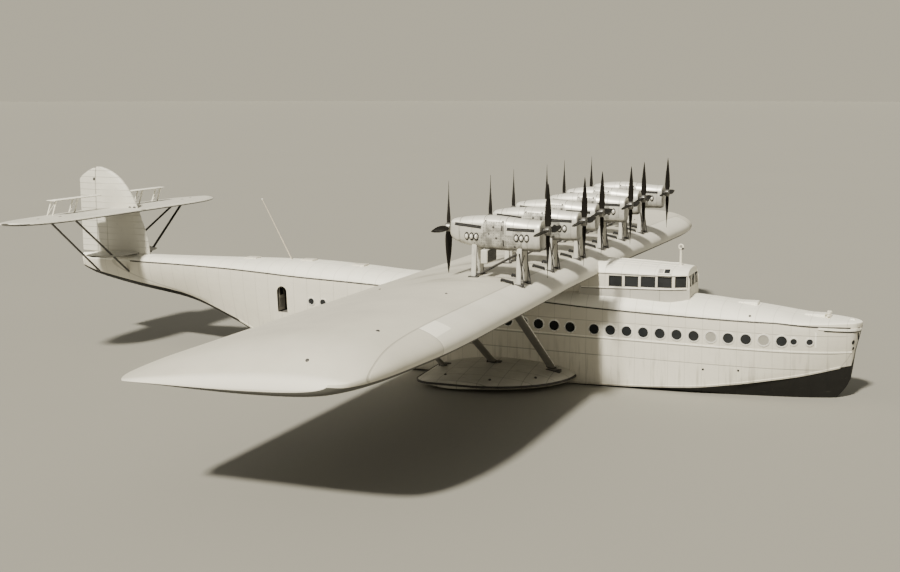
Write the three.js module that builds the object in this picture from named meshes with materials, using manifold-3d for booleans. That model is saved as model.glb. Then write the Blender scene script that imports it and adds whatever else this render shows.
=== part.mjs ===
// A twelve-engined flying boat afloat: hull, sponsons, strutted wing and six tandem engine mounts.
// Every size is in metres of the full-size boat. The last step makes the 1:2 model in millimetres.
// Frame: +X to the bow, +Y to port, +Z up, with the origin amidships on the waterline.

import * as THREE from 'three';
import { mergeVertices } from 'three/addons/utils/BufferGeometryUtils.js';
import Module from 'manifold-3d';

const wasm = await Module();
wasm.setup();

const MODEL = 500;            // model millimetres per full-size metre, 1:2
const GAP = 0.0007;           // running gap between seated pieces
const FAR = 60;               // half size of a cutting block

// Hull stations: place, keel, chine, gunwale and deck ridge
const HULL = [
  { x: 13.99, keel: 3.22, chineY: 0.03, chineZ: 3.26, gunY: 0.06, gunZ: 3.35, top: 3.40 },
  { x: 13.90, keel: 2.76, chineY: 0.08, chineZ: 2.88, gunY: 0.34, gunZ: 3.37, top: 3.42 },
  { x: 13.76, keel: 2.08, chineY: 0.13, chineZ: 2.24, gunY: 0.56, gunZ: 3.38, top: 3.43 },
  { x: 13.62, keel: 0.90, chineY: 0.24, chineZ: 1.64, gunY: 0.71, gunZ: 3.38, top: 3.44 },
  { x: 13.30, keel: 0.30, chineY: 0.42, chineZ: 1.53, gunY: 0.93, gunZ: 3.38, top: 3.46 },
  { x: 12.70, keel: -0.35, chineY: 0.73, chineZ: 1.34, gunY: 1.21, gunZ: 3.36, top: 3.51 },
  { x: 11.65, keel: -0.85, chineY: 1.09, chineZ: 1.00, gunY: 1.50, gunZ: 3.33, top: 3.60 },
  { x: 10.30, keel: -1.02, chineY: 1.38, chineZ: 0.73, gunY: 1.67, gunZ: 3.33, top: 3.78 },
  { x: 8.80, keel: -1.05, chineY: 1.56, chineZ: 0.50, gunY: 1.74, gunZ: 3.34, top: 3.96 },
  { x: 6.80, keel: -1.05, chineY: 1.66, chineZ: 0.30, gunY: 1.75, gunZ: 3.38, top: 4.14 },
  { x: 3.00, keel: -1.05, chineY: 1.70, chineZ: 0.12, gunY: 1.75, gunZ: 3.49, top: 4.36 },
  { x: -2.00, keel: -1.05, chineY: 1.70, chineZ: 0.05, gunY: 1.75, gunZ: 3.72, top: 4.36 },
  { x: -2.03, keel: -0.78, chineY: 1.66, chineZ: 0.10, gunY: 1.75, gunZ: 3.72, top: 4.36 },
  { x: -7.10, keel: -0.64, chineY: 1.62, chineZ: 0.14, gunY: 1.73, gunZ: 3.91, top: 4.46 },
  { x: -9.50, keel: -0.48, chineY: 1.50, chineZ: 0.24, gunY: 1.69, gunZ: 4.00, top: 4.62 },
  { x: -12.50, keel: -0.20, chineY: 1.26, chineZ: 0.48, gunY: 1.58, gunZ: 4.09, top: 4.74 },
  { x: -14.50, keel: 0.35, chineY: 0.98, chineZ: 1.02, gunY: 1.45, gunZ: 4.18, top: 4.72 },
  { x: -16.50, keel: 1.35, chineY: 0.72, chineZ: 1.80, gunY: 1.26, gunZ: 4.24, top: 4.67 },
  { x: -19.40, keel: 2.43, chineY: 0.47, chineZ: 2.74, gunY: 0.95, gunZ: 4.26, top: 4.62 },
  { x: -22.50, keel: 2.92, chineY: 0.31, chineZ: 3.18, gunY: 0.60, gunZ: 4.24, top: 4.59 },
  { x: -25.20, keel: 3.48, chineY: 0.15, chineZ: 3.66, gunY: 0.28, gunZ: 4.24, top: 4.56 },
  { x: -25.90, keel: 3.77, chineY: 0.10, chineZ: 3.88, gunY: 0.17, gunZ: 4.26, top: 4.52 },
];

// Rear doorway on the starboard side, its lobby and its leaf
const DOOR = { x: -13.15, sill: 2.30, width: 0.56, height: 1.30 };
const LOBBY = { out: -1.33, in: -0.35, aft: 0.16, fore: 0.06, over: 0.06, under: 0.02 };
const LEAF = { clear: 0.016, thick: 0.05, pinRadius: 0.03, hingeAft: 0.05, hingeIn: 0.06, past: 0.06 };

// Saddle that seats the wing on the deck
const SADDLE = { aft: -5.10, fore: 1.88, half: 1.25, low: 4.00, high: 4.75 };

// Bridge: a hollow house over the fore end of the wing
const BRIDGE = { aft: 1.90, fore: 6.72, half: 1.40, base: 3.85, eave: 5.08, ridgeAft: 5.56, ridgeFore: 5.38,
  noseRun: 1.0, noseNarrow: 0.28, roomAft: 1.05, wall: 0.07, glass: 0.03 };
const SIDE_PANES = [
  { from: 3.26, to: 3.84 },
  { from: 3.98, to: 4.57 },
  { from: 4.70, to: 5.33 },
  { from: 5.45, to: 6.04 },
  { from: 6.20, to: 6.70 },
];
const FRONT_PANES = [-0.70, 0, 0.70];
const PANE = { low: 4.50, high: 4.96, rise: 0.08, frontHalf: 0.30 };
const LINING = { aft: 3.15, under: 0.12, over: 0.06 };

// Wing: straight leading and trailing edges, a slow nose-down twist, and tips that round off and thin out
const WING = { lead: 2.77, trail: -6.73, half: 24, noseZ: 5.20, tailZ: 4.33, thick: 0.155, camber: 0.035 };
const WING_TIP = { leadRun: 7.9, leadCut: 1.98, leadRound: 2.4, trailRun: 1.04, trailCut: 0.46, thinRun: 3.0,
  thinTo: 0.30, thinRound: 3.7, sink: 0.6, droopRun: 3.75, droop: 0.16 };
const TWIST = { from: 6.0, nose: 0.25, round: 0.8 };
const WING_STATIONS = [0, 6, 7.5, 10, 12.5, 15.5, 18, 20, 21.2, 22.2, 23, 23.5, 23.8, 24];
const AILERON = { inner: 12.5, outer: 22.0, hinge: -5.02, nose: 1.32 };

// Tandem engine mounts, starboard outermost first
const MOUNT_PITCH = 3.93;
const MOUNT_COUNT = 6;
const ENGINE = { axisZ: 7.81, frontDisc: 3.19, stagger: 0.16, discGap: 4.07, shaft: 0.11 };
const POD = [
  { aft: 0.20, top: 8.06, bottom: 7.15, half: 0.36 },
  { aft: 0.25, top: 8.13, bottom: 7.07, half: 0.42 },
  { aft: 0.45, top: 8.17, bottom: 7.02, half: 0.45 },
  { aft: 1.60, top: 8.30, bottom: 7.00, half: 0.49 },
  { aft: 2.20, top: 8.34, bottom: 7.02, half: 0.49 },
  { aft: 3.00, top: 8.30, bottom: 7.12, half: 0.46 },
  { aft: 3.62, top: 8.20, bottom: 7.32, half: 0.39 },
  { aft: 3.82, top: 8.10, bottom: 7.48, half: 0.31 },
  { aft: 3.88, top: 8.00, bottom: 7.60, half: 0.22 },
];
const POD_SIDES = 12;
const LEG = { foreX: 1.97, aftX: 0.16, half: 0.42, lean: 0.06,
  chord: 0.30, thick: 0.13, low: 4.9, high: 7.5 };
const MOUNT_RODS = [
  { fromX: 1.92, fromZ: 6.93, toX: 0.20, toZ: 5.98, radius: 0.05 },
  { fromX: 2.02, fromZ: 6.95, toX: 2.30, toZ: 5.20, radius: 0.04 },
];
const MOUNT_REACH = { low: 5.0, high: 7.45 };
const RADIATOR = { x0: 0.22, x1: 0.57, z0: 6.50, z1: 7.03, half: 0.55 };
const PROP = { hubRadius: 0.19, hubHalf: 0.11, blades: 4, sides: 6 };
const BLADE = [
  { at: 0.12, chord: 0.20, thick: 0.150, twist: 62 },
  { at: 0.40, chord: 0.33, thick: 0.110, twist: 50 },
  { at: 0.80, chord: 0.34, thick: 0.080, twist: 36 },
  { at: 1.30, chord: 0.24, thick: 0.055, twist: 24 },
  { at: 1.81, chord: 0.07, thick: 0.025, twist: 17 },
];

// Sponsons and the three wing struts on each side
const SPONSON = { root: 1.30, start: 1.75, tip: 5.10, lead: 1.90, shoulder: -2.20, trail: -4.70,
  trailRun: 0.8 };
const SPONSON_STATIONS = [1.30, 1.75, 2.6, 3.4, 4.1, 4.6, 4.9, 5.05, 5.10];
const SPONSON_SIDES = 20;
const SPONSON_LIFT = { rootMid: 0.42, tipMid: 0.30, rootThick: 1.12, tipThick: 0.34 };
const WING_STRUTS = [
  { name: 'fore', footX: 1.05, footZ: 0.72, topX: 1.05, chord: 0.42 },
  { name: 'mid', footX: -1.75, footZ: 0.80, topX: -1.75, chord: 0.42 },
  { name: 'aft', footX: -4.10, footZ: 0.40, topX: -4.40, chord: 0.32 },
];
const STRUT_Y = { foot: 2.40, top: 9.0 };
const STRUT_THICK = 0.17;

// Tail
const TAIL = { lead: -22.05, trail: -25.00, half: 8.6, z: 6.89, thick: 0.08, sweep: 0.14, round: 6,
  hinge: -24.10 };
const TAIL_STATIONS = [0, 4.5, 6.2, 7.2, 7.8, 8.2, 8.45, 8.56];
const ELEVATOR = { inner: 0.88, nose: 0.37, lugAt: 5.2, lugHalf: 0.02, lugIn: 0.06 };
const FIN = { top: 9.10, hinge: -25.05, thick: 0.40, tipThick: 0.18, tipRun: 1.2, nose: 0.135,
  rudderFoot: 4.63 };
// Edges of fin and rudder together, as height and place
const FIN_LEAD = [[4.30, -21.70], [5.39, -21.85], [6.42, -22.20], [7.25, -22.50], [7.87, -22.85],
  [8.54, -23.40], [8.90, -23.95], [9.10, -24.60]];
const FIN_TRAIL = [[4.30, -25.25], [4.60, -25.25], [4.66, -25.95], [8.43, -26.00], [8.75, -25.65],
  [8.95, -25.30], [9.10, -24.90]];
const FIN_LEVELS = [4.30, 4.60, 4.66, 5.39, 6.42, 7.25, 7.87, 8.43, 8.75, 8.95, 9.10];
const LOW_PLANE = { lead: -22.30, trail: -24.50, half: 2.40, z: 4.66, thick: 0.065, sweep: 0.14, round: 4 };
const LOW_PLANE_STATIONS = [0, 1.3, 1.9, 2.25, 2.37];
const TAIL_STRUT = { chord: 0.16, thick: 0.09 };
const TAIL_STRUTS = [
  { name: 'fore', low: [-22.80, 0.30, 3.58], high: [-22.83, 4.70, 6.89] },
  { name: 'aft', low: [-24.90, 0.06, 3.52], high: [-23.74, 5.52, 6.89] },
];
// Small plane on posts over each elevator
const SERVO = { lead: -23.90, trail: -24.50, inner: 1.05, outer: 4.70, z: 7.70, thick: 0.14 };
const SERVO_POSTS = { at: [2.8, 4.5], tops: [-24.02, -24.32], feet: [-24.30, -24.62], thick: 0.05 };

// Deck fittings
const MAST = { x: 6.15, radius: 0.035, foot: 4.9, top: 6.41, loop: 0.16, wire: 0.02 };
const STAFF = { low: [-13.21, 0, 4.42], high: [-14.99, 0, 7.68], radius: 0.035 };
const BOLLARD = { x: 12.6, radius: 0.09, foot: 3.3, top: 3.74, spread: 0.22, barZ: 3.62, barHalf: 0.42,
  barRadius: 0.05 };

const group = new THREE.Group();

// Colours from the photograph
const PAINT = {
  hull: [0xc9c6bf, 0.55, 0.1],
  wing: [0xd2cfc8, 0.5, 0.15],
  pod: [0xa9a69f, 0.5, 0.3],
  steel: [0x8d8b86, 0.5, 0.5],
  wood: [0x2b211b, 0.45, 0],
  dark: [0x3c3a38, 0.6, 0.2],
  glass: [0x14171a, 0.15, 0],
};

// Solids

function solid(geometry) {
  const g = geometry.clone();
  g.deleteAttribute('normal');
  g.deleteAttribute('uv');
  const merged = mergeVertices(g, 1e-5);
  return new wasm.Manifold(new wasm.Mesh({
    numProp: 3,
    vertProperties: new Float32Array(merged.attributes.position.array),
    triVerts: new Uint32Array(merged.index.array),
  }));
}

function show(name, body, paint) {
  const mesh = body.getMesh();
  const geometry = new THREE.BufferGeometry();
  const places = Float32Array.from(mesh.vertProperties, (v) => v * MODEL);
  geometry.setAttribute('position', new THREE.BufferAttribute(places, 3));
  geometry.setIndex(new THREE.BufferAttribute(new Uint32Array(mesh.triVerts), 1));
  geometry.computeVertexNormals();
  const [color, roughness, metalness] = paint;
  const piece = new THREE.Mesh(geometry, new THREE.MeshStandardMaterial({ color, roughness, metalness }));
  piece.name = name;
  group.add(piece);
}

// A closed body through rings of equal count, each a list of THREE.Vector3
function loft(rings) {
  const count = rings[0].length;
  const places = [];
  const faces = [];
  rings.forEach((ring) => ring.forEach((p) => places.push(p.x, p.y, p.z)));
  for (let i = 0; i + 1 < rings.length; i += 1) {
    for (let j = 0; j < count; j += 1) {
      const a = i * count + j;
      const b = i * count + (j + 1) % count;
      faces.push(a, b, b + count, a, b + count, a + count);
    }
  }
  const cap = (ring, start, turned) => {
    const middle = ring.reduce((sum, p) => sum.add(p), new THREE.Vector3()).divideScalar(count);
    const centre = places.length / 3;
    places.push(middle.x, middle.y, middle.z);
    for (let j = 0; j < count; j += 1) {
      const a = start + j;
      const b = start + (j + 1) % count;
      faces.push(...(turned ? [centre, a, b] : [centre, b, a]));
    }
  };
  cap(rings[0], 0, false);
  cap(rings[rings.length - 1], (rings.length - 1) * count, true);
  const geometry = new THREE.BufferGeometry();
  geometry.setAttribute('position', new THREE.Float32BufferAttribute(places, 3));
  geometry.setIndex(faces);
  const body = solid(geometry);
  if (body.volume() > 0) {
    return body;
  }
  for (let i = 0; i < faces.length; i += 3) {
    [faces[i], faces[i + 1]] = [faces[i + 1], faces[i]];
  }
  geometry.setIndex(faces);
  return solid(geometry);
}

function block(x0, x1, y0, y1, z0, z1) {
  const g = new THREE.BoxGeometry(Math.abs(x1 - x0), Math.abs(y1 - y0), Math.abs(z1 - z0));
  g.translate((x0 + x1) / 2, (y0 + y1) / 2, (z0 + z1) / 2);
  return solid(g);
}

function rod(from, to, radius, sides = 10) {
  const a = new THREE.Vector3(...from);
  const b = new THREE.Vector3(...to);
  const g = new THREE.CylinderGeometry(radius, radius, a.distanceTo(b), sides);
  const along = b.clone().sub(a).normalize();
  g.applyQuaternion(new THREE.Quaternion().setFromUnitVectors(new THREE.Vector3(0, 1, 0), along));
  g.translate((a.x + b.x) / 2, (a.y + b.y) / 2, (a.z + b.z) / 2);
  return solid(g);
}

// A strut of streamlined section, its chord along X
function blade(from, to, chord, thick, sides = 10) {
  const a = new THREE.Vector3(...from);
  const b = new THREE.Vector3(...to);
  const fore = new THREE.Vector3(1, 0, 0);
  const across = new THREE.Vector3().crossVectors(b.clone().sub(a), fore).normalize();
  const ring = (p) => Array.from({ length: sides }, (_, k) => {
    const t = (2 * Math.PI * k) / sides;
    return p.clone().addScaledVector(fore, Math.cos(t) * chord / 2)
      .addScaledVector(across, Math.sin(t) * thick / 2);
  });
  return loft([ring(a), ring(b)]);
}

function union(parts) {
  return parts.reduce((sum, part) => sum.add(part));
}

// What is left of a cut piece, without the offcuts
function largest(body) {
  return body.decompose().reduce((best, one) => (one.volume() > best.volume() ? one : best));
}

function between(table, at) {
  const next = table.findIndex(([z]) => z >= at);
  if (next <= 0) {
    return table[next === 0 ? 0 : table.length - 1][1];
  }
  const [z0, x0] = table[next - 1];
  const [z1, x1] = table[next];
  return x0 + (x1 - x0) * (at - z0) / (z1 - z0);
}

// Aerofoil: the height of its middle line and its half depth, at a place t along the chord from the nose
function foilArch(camber, t) {
  const crest = 0.4;
  return t < crest ? camber / crest ** 2 * (2 * crest * t - t * t)
    : camber / (1 - crest) ** 2 * (1 - 2 * crest + 2 * crest * t - t * t);
}

function foilHalf(thick, t) {
  const edge = 0.0012;
  const nose = 0.2969 * Math.sqrt(t) - 0.126 * t;
  return 5 * thick * (nose - 0.3516 * t ** 2 + 0.2843 * t ** 3 - 0.1015 * t ** 4) + edge;
}

// The section as pairs: place along the chord, height over it
function foil(thick, camber, steps = 9) {
  const turn = Math.PI / (steps + 1);
  const along = Array.from({ length: steps }, (_, k) => (1 - Math.cos(turn * (k + 1))) / 2);
  const upper = along.map((t) => [t, foilArch(camber, t) + foilHalf(thick, t)]);
  const lower = along.map((t) => [t, foilArch(camber, t) - foilHalf(thick, t)]).reverse();
  return [[0, 0], ...upper, [1, foilHalf(thick, 1)], [1, -foilHalf(thick, 1)], ...lower];
}

// Hull

function hullRing(s, grow) {
  const side = (t) => [s.chineY + (s.gunY - s.chineY) * Math.sin(t * Math.PI / 2) + grow,
    s.chineZ + (s.gunZ - s.chineZ) * t];
  const deck = [0.25, 0.5, 0.75].map((t) => [
    (s.gunY + grow) * Math.cos(t * Math.PI / 2) ** 0.8,
    s.gunZ + (s.top + grow - s.gunZ) * Math.sin(t * Math.PI / 2),
  ]);
  const half = [[s.chineY + grow, s.chineZ - grow], side(0.35), side(0.7), side(1), ...deck];
  const port = half.map(([y, z]) => new THREE.Vector3(s.x, y, z));
  const starboard = half.map(([y, z]) => new THREE.Vector3(s.x, -y, z)).reverse();
  const keel = new THREE.Vector3(s.x, 0, s.keel - grow);
  return [keel, ...port, new THREE.Vector3(s.x, 0, s.top + grow), ...starboard];
}

function hullForm(grow = 0) {
  const rings = HULL.map((s) => hullRing(s, grow));
  const ends = [grow, -grow];
  [0, rings.length - 1].forEach((at, k) => rings[at].forEach((p) => p.setX(p.x + ends[k])));
  return loft(rings);
}

// Wing and its ailerons

function wingEdges(y) {
  const u = Math.max(0, (Math.abs(y) - (WING.half - WING_TIP.leadRun)) / WING_TIP.leadRun);
  const v = Math.max(0, (Math.abs(y) - (WING.half - WING_TIP.trailRun)) / WING_TIP.trailRun);
  const round = WING_TIP.leadRound;
  return {
    lead: WING.lead - WING_TIP.leadCut * (1 - Math.max(0, 1 - u ** round) ** (1 / round)),
    trail: WING.trail + WING_TIP.trailCut * (1 - Math.sqrt(Math.max(0, 1 - v * v))),
  };
}

const CHORD = WING.lead - WING.trail;

// Height of the chord line, which the twist lowers at the nose and the droop lowers at the tip
function chordZ(x, y) {
  const aft = (WING.lead - x) / CHORD;
  const out = Math.max(0, Math.abs(y) - TWIST.from) / (WING.half - TWIST.from);
  const end = Math.max(0, Math.abs(y) - (WING.half - WING_TIP.droopRun)) / WING_TIP.droopRun;
  return WING.noseZ + (WING.tailZ - WING.noseZ) * aft - TWIST.nose * out ** TWIST.round * (1 - aft)
    - WING_TIP.droop * end ** 2;
}

function wingForm(grow = 0) {
  const ring = (y) => {
    const { lead, trail } = wingEdges(y);
    const run = lead - trail;
    const out = Math.max(0, Math.abs(y) - (WING.half - WING_TIP.thinRun)) / WING_TIP.thinRun;
    const full = 1 - (1 - WING_TIP.thinTo) * out ** WING_TIP.thinRound;
    return foil(WING.thick, WING.camber).map(([t, h]) => {
      const x = lead - run * t;
      const sunk = (1 - full) * WING_TIP.sink * foilHalf(WING.thick, t) * CHORD;
      const away = Math.sign(h) * grow;
      const z = chordZ(x, y) + h * CHORD * full - sunk + away;
      return new THREE.Vector3(x + (t < 0.02 ? grow : 0) - (t > 0.99 ? grow : 0), y, z);
    });
  };
  const out = [...WING_STATIONS].reverse().map((y) => -y).slice(0, -1);
  return loft([...out, ...WING_STATIONS].map(ring));
}

// The wing's middle surface and its half depth, at a place inboard of the twist
function wingMiddle(x) {
  const t = (WING.lead - x) / CHORD;
  return { z: chordZ(x, 0) + CHORD * foilArch(WING.camber, t), half: CHORD * foilHalf(WING.thick, t) };
}

// A hinged surface: a round nose on its axis and everything aft of it, in the range a to b along Y or Z
function flap(axis, x, centre, a, b, radius) {
  const ends = (v) => (axis === 'y' ? [x, v, centre] : [x, centre, v]);
  const nose = rod(ends(a), ends(b), radius, 20);
  const rear = axis === 'y' ? block(x - FAR, x, a, b, centre - FAR, centre + FAR)
    : block(x - FAR, x, centre - FAR, centre + FAR, a, b);
  return nose.add(rear);
}

const HINGE_CLEAR = 0.013;
const END_CLEAR = 0.013;
const PIN = 0.035;

function splitFlap(whole, axis, x, centre, a, b, radius) {
  const room = flap(axis, x, centre, a, b, radius + HINGE_CLEAR);
  const shape = flap(axis, x, centre, a + END_CLEAR, b - END_CLEAR, radius);
  const ends = (v) => (axis === 'y' ? [x, v, centre] : [x, centre, v]);
  const pin = rod(ends(a + GAP), ends(b - GAP), PIN, 12);
  return { fixed: whole.subtract(room), moving: whole.intersect(shape).add(pin) };
}

const saddle = block(SADDLE.aft, SADDLE.fore, -SADDLE.half, SADDLE.half, SADDLE.low, SADDLE.high);
const hullBody = hullForm().add(saddle);
const hullCutter = hullForm(GAP);
const wingCutter = wingForm(GAP);
let wing = wingForm();

const aileronAxis = wingMiddle(AILERON.hinge);
for (const [side, sign] of [['starboard', -1], ['port', 1]]) {
  const a = Math.min(sign * AILERON.inner, sign * AILERON.outer);
  const b = Math.max(sign * AILERON.inner, sign * AILERON.outer);
  const cut = splitFlap(wing, 'y', AILERON.hinge, aileronAxis.z, a, b, aileronAxis.half * AILERON.nose);
  wing = cut.fixed;
  show(`aileron_${side}`, cut.moving, PAINT.wing);
}

// Bridge house: a body of rounded plan on the deck, its roof arched and falling to the windscreen

function bridgeRing(x, inset) {
  const nose = Math.max(0, (x - (BRIDGE.fore - BRIDGE.noseRun)) / BRIDGE.noseRun);
  const half = BRIDGE.half * (1 - BRIDGE.noseNarrow * nose ** 2) - inset;
  const along = (x - BRIDGE.aft) / (BRIDGE.fore - BRIDGE.aft);
  const ridge = BRIDGE.ridgeAft + (BRIDGE.ridgeFore - BRIDGE.ridgeAft) * along ** 2;
  const eave = BRIDGE.eave - inset;
  const roof = [15, 40, 65].map((deg) => {
    const t = THREE.MathUtils.degToRad(deg);
    return [half * Math.cos(t) ** 0.7, eave + (ridge - inset - eave) * Math.sin(t)];
  });
  const base = BRIDGE.base - (inset > 0 ? 1 : 0);
  const side = [[half, base], [half, eave], ...roof];
  const port = side.map(([y, z]) => new THREE.Vector3(x, y, z));
  const starboard = side.map(([y, z]) => new THREE.Vector3(x, -y, z)).reverse();
  return [...port, new THREE.Vector3(x, 0, ridge - inset), ...starboard];
}

function bridgeForm(inset) {
  const from = BRIDGE.aft + (inset > 0 ? BRIDGE.roomAft : 0);
  const fore = BRIDGE.fore - inset;
  const places = [from, (from + fore) / 2, fore - 1.0, fore - 0.6, fore - 0.3, fore - 0.1];
  const rings = places.map((x) => bridgeRing(x, inset));
  // the brow leans back over the windscreen
  const brow = bridgeRing(fore, inset).map((p) => p.setX(fore + (p.z > BRIDGE.eave - 0.05 ? -0.02 : 0.06)));
  rings.push(brow);
  return loft(rings);
}

function panes() {
  const first = SIDE_PANES[0].from;
  const side = SIDE_PANES.map((p) => {
    const lift = PANE.rise * ((p.from + p.to) / 2 - first) / (BRIDGE.fore - first);
    return block(p.from, p.to, -2, 2, PANE.low + lift, PANE.high + lift);
  });
  const front = FRONT_PANES.map((y) => block(BRIDGE.fore - 0.35, BRIDGE.fore + 0.3, y - PANE.frontHalf,
    y + PANE.frontHalf, PANE.low + PANE.rise, PANE.high + PANE.rise));
  return union([...side, ...front]);
}

const house = bridgeForm(0);
const room = bridgeForm(BRIDGE.wall);
const bridge = house.subtract(room).subtract(panes()).subtract(hullCutter).subtract(wingCutter);
show('bridge_cabin', bridge, PAINT.hull);
const bandTop = PANE.high + PANE.rise + LINING.over;
const band = block(LINING.aft, BRIDGE.fore + 1, -2, 2, PANE.low - LINING.under, bandTop);
const lining = bridgeForm(BRIDGE.wall + GAP).subtract(bridgeForm(BRIDGE.wall + BRIDGE.glass)).intersect(band);
show('bridge_glazing', lining.subtract(wingCutter), PAINT.glass);

// Rear doorway with its lobby cut in the hull, and the leaf standing open inside

const doorAft = DOOR.x - DOOR.width / 2;
const doorFore = DOOR.x + DOOR.width / 2;
const doorTop = DOOR.sill + DOOR.height;
const doorArch = DOOR.width / 2;
const doorway = union([
  block(doorAft, doorFore, -3, -1, DOOR.sill, doorTop - doorArch),
  rod([DOOR.x, -3, doorTop - doorArch], [DOOR.x, -1, doorTop - doorArch], doorArch, 24),
]);
const lobbyFloor = DOOR.sill - LOBBY.under;
const lobbyTop = doorTop + LOBBY.over;
const lobby = block(doorAft - LOBBY.aft, doorFore + LOBBY.fore, LOBBY.out, LOBBY.in, lobbyFloor, lobbyTop);
const hingeX = doorAft - LEAF.hingeAft;
const hingeY = LOBBY.out + LEAF.hingeIn;
const leaf = union([
  block(hingeX - LEAF.thick / 2, hingeX + LEAF.thick / 2, hingeY, hingeY + DOOR.width + LEAF.past,
    DOOR.sill + LEAF.clear, doorTop - LEAF.clear),
  rod([hingeX, hingeY, lobbyFloor + GAP], [hingeX, hingeY, lobbyTop - GAP], LEAF.pinRadius, 12),
]);
show('rear_door', leaf, PAINT.hull);

// Tail planes

function planeForm(plane, stations, grow = 0) {
  const chord = plane.lead - plane.trail;
  const ring = (y) => {
    const fit = Math.sqrt(Math.max(0.04, 1 - (Math.abs(y) / plane.half) ** plane.round));
    const run = chord * fit;
    const depth = plane.thick * (0.35 + 0.65 * fit) / fit;
    const lead = (plane.lead + plane.trail) / 2 - chord * plane.sweep * (1 - fit) + run / 2;
    return foil(depth, 0, 7).map(([t, h]) => {
      const past = (t < 0.02 ? grow : 0) - (t > 0.99 ? grow : 0);
      return new THREE.Vector3(lead - run * t + past, y, plane.z + h * run + Math.sign(h) * grow);
    });
  };
  const out = [...stations].reverse().map((y) => -y).slice(0, -1);
  return loft([...out, ...stations].map(ring));
}

// A block between two places on one side, whichever way round they lie
const span = (sign, y0, y1) => [Math.min(sign * y0, sign * y1), Math.max(sign * y0, sign * y1)];

const tailCutter = planeForm(TAIL, TAIL_STATIONS, GAP);
const tailWhole = planeForm(TAIL, TAIL_STATIONS);
const elevatorNose = (TAIL.lead - TAIL.trail) * TAIL.thick * ELEVATOR.nose;
const pastTip = TAIL.half + 1;
const tailRoom = flap('y', TAIL.hinge, TAIL.z, -pastTip, pastTip, elevatorNose + HINGE_CLEAR);
const lugPlaces = [ELEVATOR.inner - ELEVATOR.lugIn, ELEVATOR.lugAt];
const hingeLugs = union([-1, 1].flatMap((sign) => lugPlaces.map((at) => {
  const [a, b] = span(sign, at - ELEVATOR.lugHalf, at + ELEVATOR.lugHalf);
  return block(TAIL.hinge - 0.05, TAIL.hinge + 0.4, a, b, TAIL.z - 0.05, TAIL.z + 0.05);
})));
const slots = union([-1, 1].map((sign) => {
  const half = ELEVATOR.lugHalf + END_CLEAR;
  const [a, b] = span(sign, ELEVATOR.lugAt - half, ELEVATOR.lugAt + half);
  return block(TAIL.hinge - 0.07, TAIL.hinge + 0.3, a, b, TAIL.z - 0.3, TAIL.z + 0.3);
}));
show('stabilizer', tailWhole.subtract(tailRoom).add(hingeLugs), PAINT.wing);

const servoRing = (y) => foil(SERVO.thick, 0, 5).map(([t, h]) => {
  const run = SERVO.lead - SERVO.trail;
  return new THREE.Vector3(SERVO.lead - run * t, y, SERVO.z + h * run);
});
for (const [side, sign] of [['starboard', -1], ['port', 1]]) {
  const shape = flap('y', TAIL.hinge, TAIL.z, ...span(sign, ELEVATOR.inner, pastTip), elevatorNose);
  const pin = (y0, y1) => rod([TAIL.hinge, sign * y0, TAIL.z], [TAIL.hinge, sign * y1, TAIL.z], PIN, 12);
  const innerPin = pin(ELEVATOR.inner - ELEVATOR.lugIn + ELEVATOR.lugHalf + GAP, ELEVATOR.inner + 0.5);
  const lugFace = ELEVATOR.lugAt - ELEVATOR.lugHalf;
  const lugPin = pin(lugFace - END_CLEAR - 0.05, lugFace - GAP);
  const elevator = tailWhole.intersect(shape).subtract(slots).add(innerPin).add(lugPin);
  show(`elevator_${side}`, elevator, PAINT.wing);
  const plane = loft([SERVO.inner, SERVO.outer].map((y) => servoRing(sign * y)));
  const posts = SERVO_POSTS.at.flatMap((y) => SERVO_POSTS.tops.map((top, k) => rod(
    [top, sign * y, SERVO.z], [SERVO_POSTS.feet[k], sign * y, TAIL.z], SERVO_POSTS.thick / 2, 6)));
  show(`servo_plane_${side}`, union([plane, ...posts]).subtract(tailCutter), PAINT.wing);
}

// Fin and rudder

function finForm() {
  return loft(FIN_LEVELS.map((z) => {
    const lead = between(FIN_LEAD, z);
    const run = lead - between(FIN_TRAIL, z);
    const full = Math.min(1, (FIN.top - z) / FIN.tipRun);
    const depth = FIN.tipThick + (FIN.thick - FIN.tipThick) * full;
    return foil(depth / run, 0, 7).map(([t, h]) => new THREE.Vector3(lead - run * t, h * run, z));
  }));
}
const finCut = splitFlap(finForm(), 'z', FIN.hinge, 0, FIN.rudderFoot, FIN.top + 1, FIN.nose);
const stabilizerCutter = tailCutter.subtract(flap('y', TAIL.hinge, TAIL.z, -pastTip, pastTip,
  elevatorNose + HINGE_CLEAR - GAP));
const lowPlaneCutter = planeForm(LOW_PLANE, LOW_PLANE_STATIONS, GAP);
const fin = finCut.fixed.subtract(hullCutter).subtract(stabilizerCutter).subtract(lowPlaneCutter);
show('fin', largest(fin), PAINT.wing);
show('rudder', finCut.moving.intersect(block(-FAR, FAR, -FAR, FAR, 0, FIN.top - 0.07)), PAINT.wing);

// Tail struts, and the small plane low on the stern that they pass through

const belowTail = block(-FAR, 0, -FAR, FAR, 0, TAIL.z);
let lowPlane = planeForm(LOW_PLANE, LOW_PLANE_STATIONS).subtract(hullCutter);
for (const [side, sign] of [['starboard', -1], ['port', 1]]) {
  for (const s of TAIL_STRUTS) {
    const low = [s.low[0], sign * s.low[1], s.low[2]];
    const high = [s.high[0], sign * s.high[1], s.high[2]];
    const strut = blade(low, high, TAIL_STRUT.chord, TAIL_STRUT.thick, 8);
    show(`tail_strut_${side}_${s.name}`, strut.intersect(belowTail).subtract(hullCutter).subtract(tailCutter),
      PAINT.steel);
    lowPlane = lowPlane.subtract(blade(low, high, TAIL_STRUT.chord + 2 * GAP, TAIL_STRUT.thick + 2 * GAP, 8));
  }
}
show('low_tailplane', lowPlane, PAINT.wing);

// Sponsons

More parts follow.
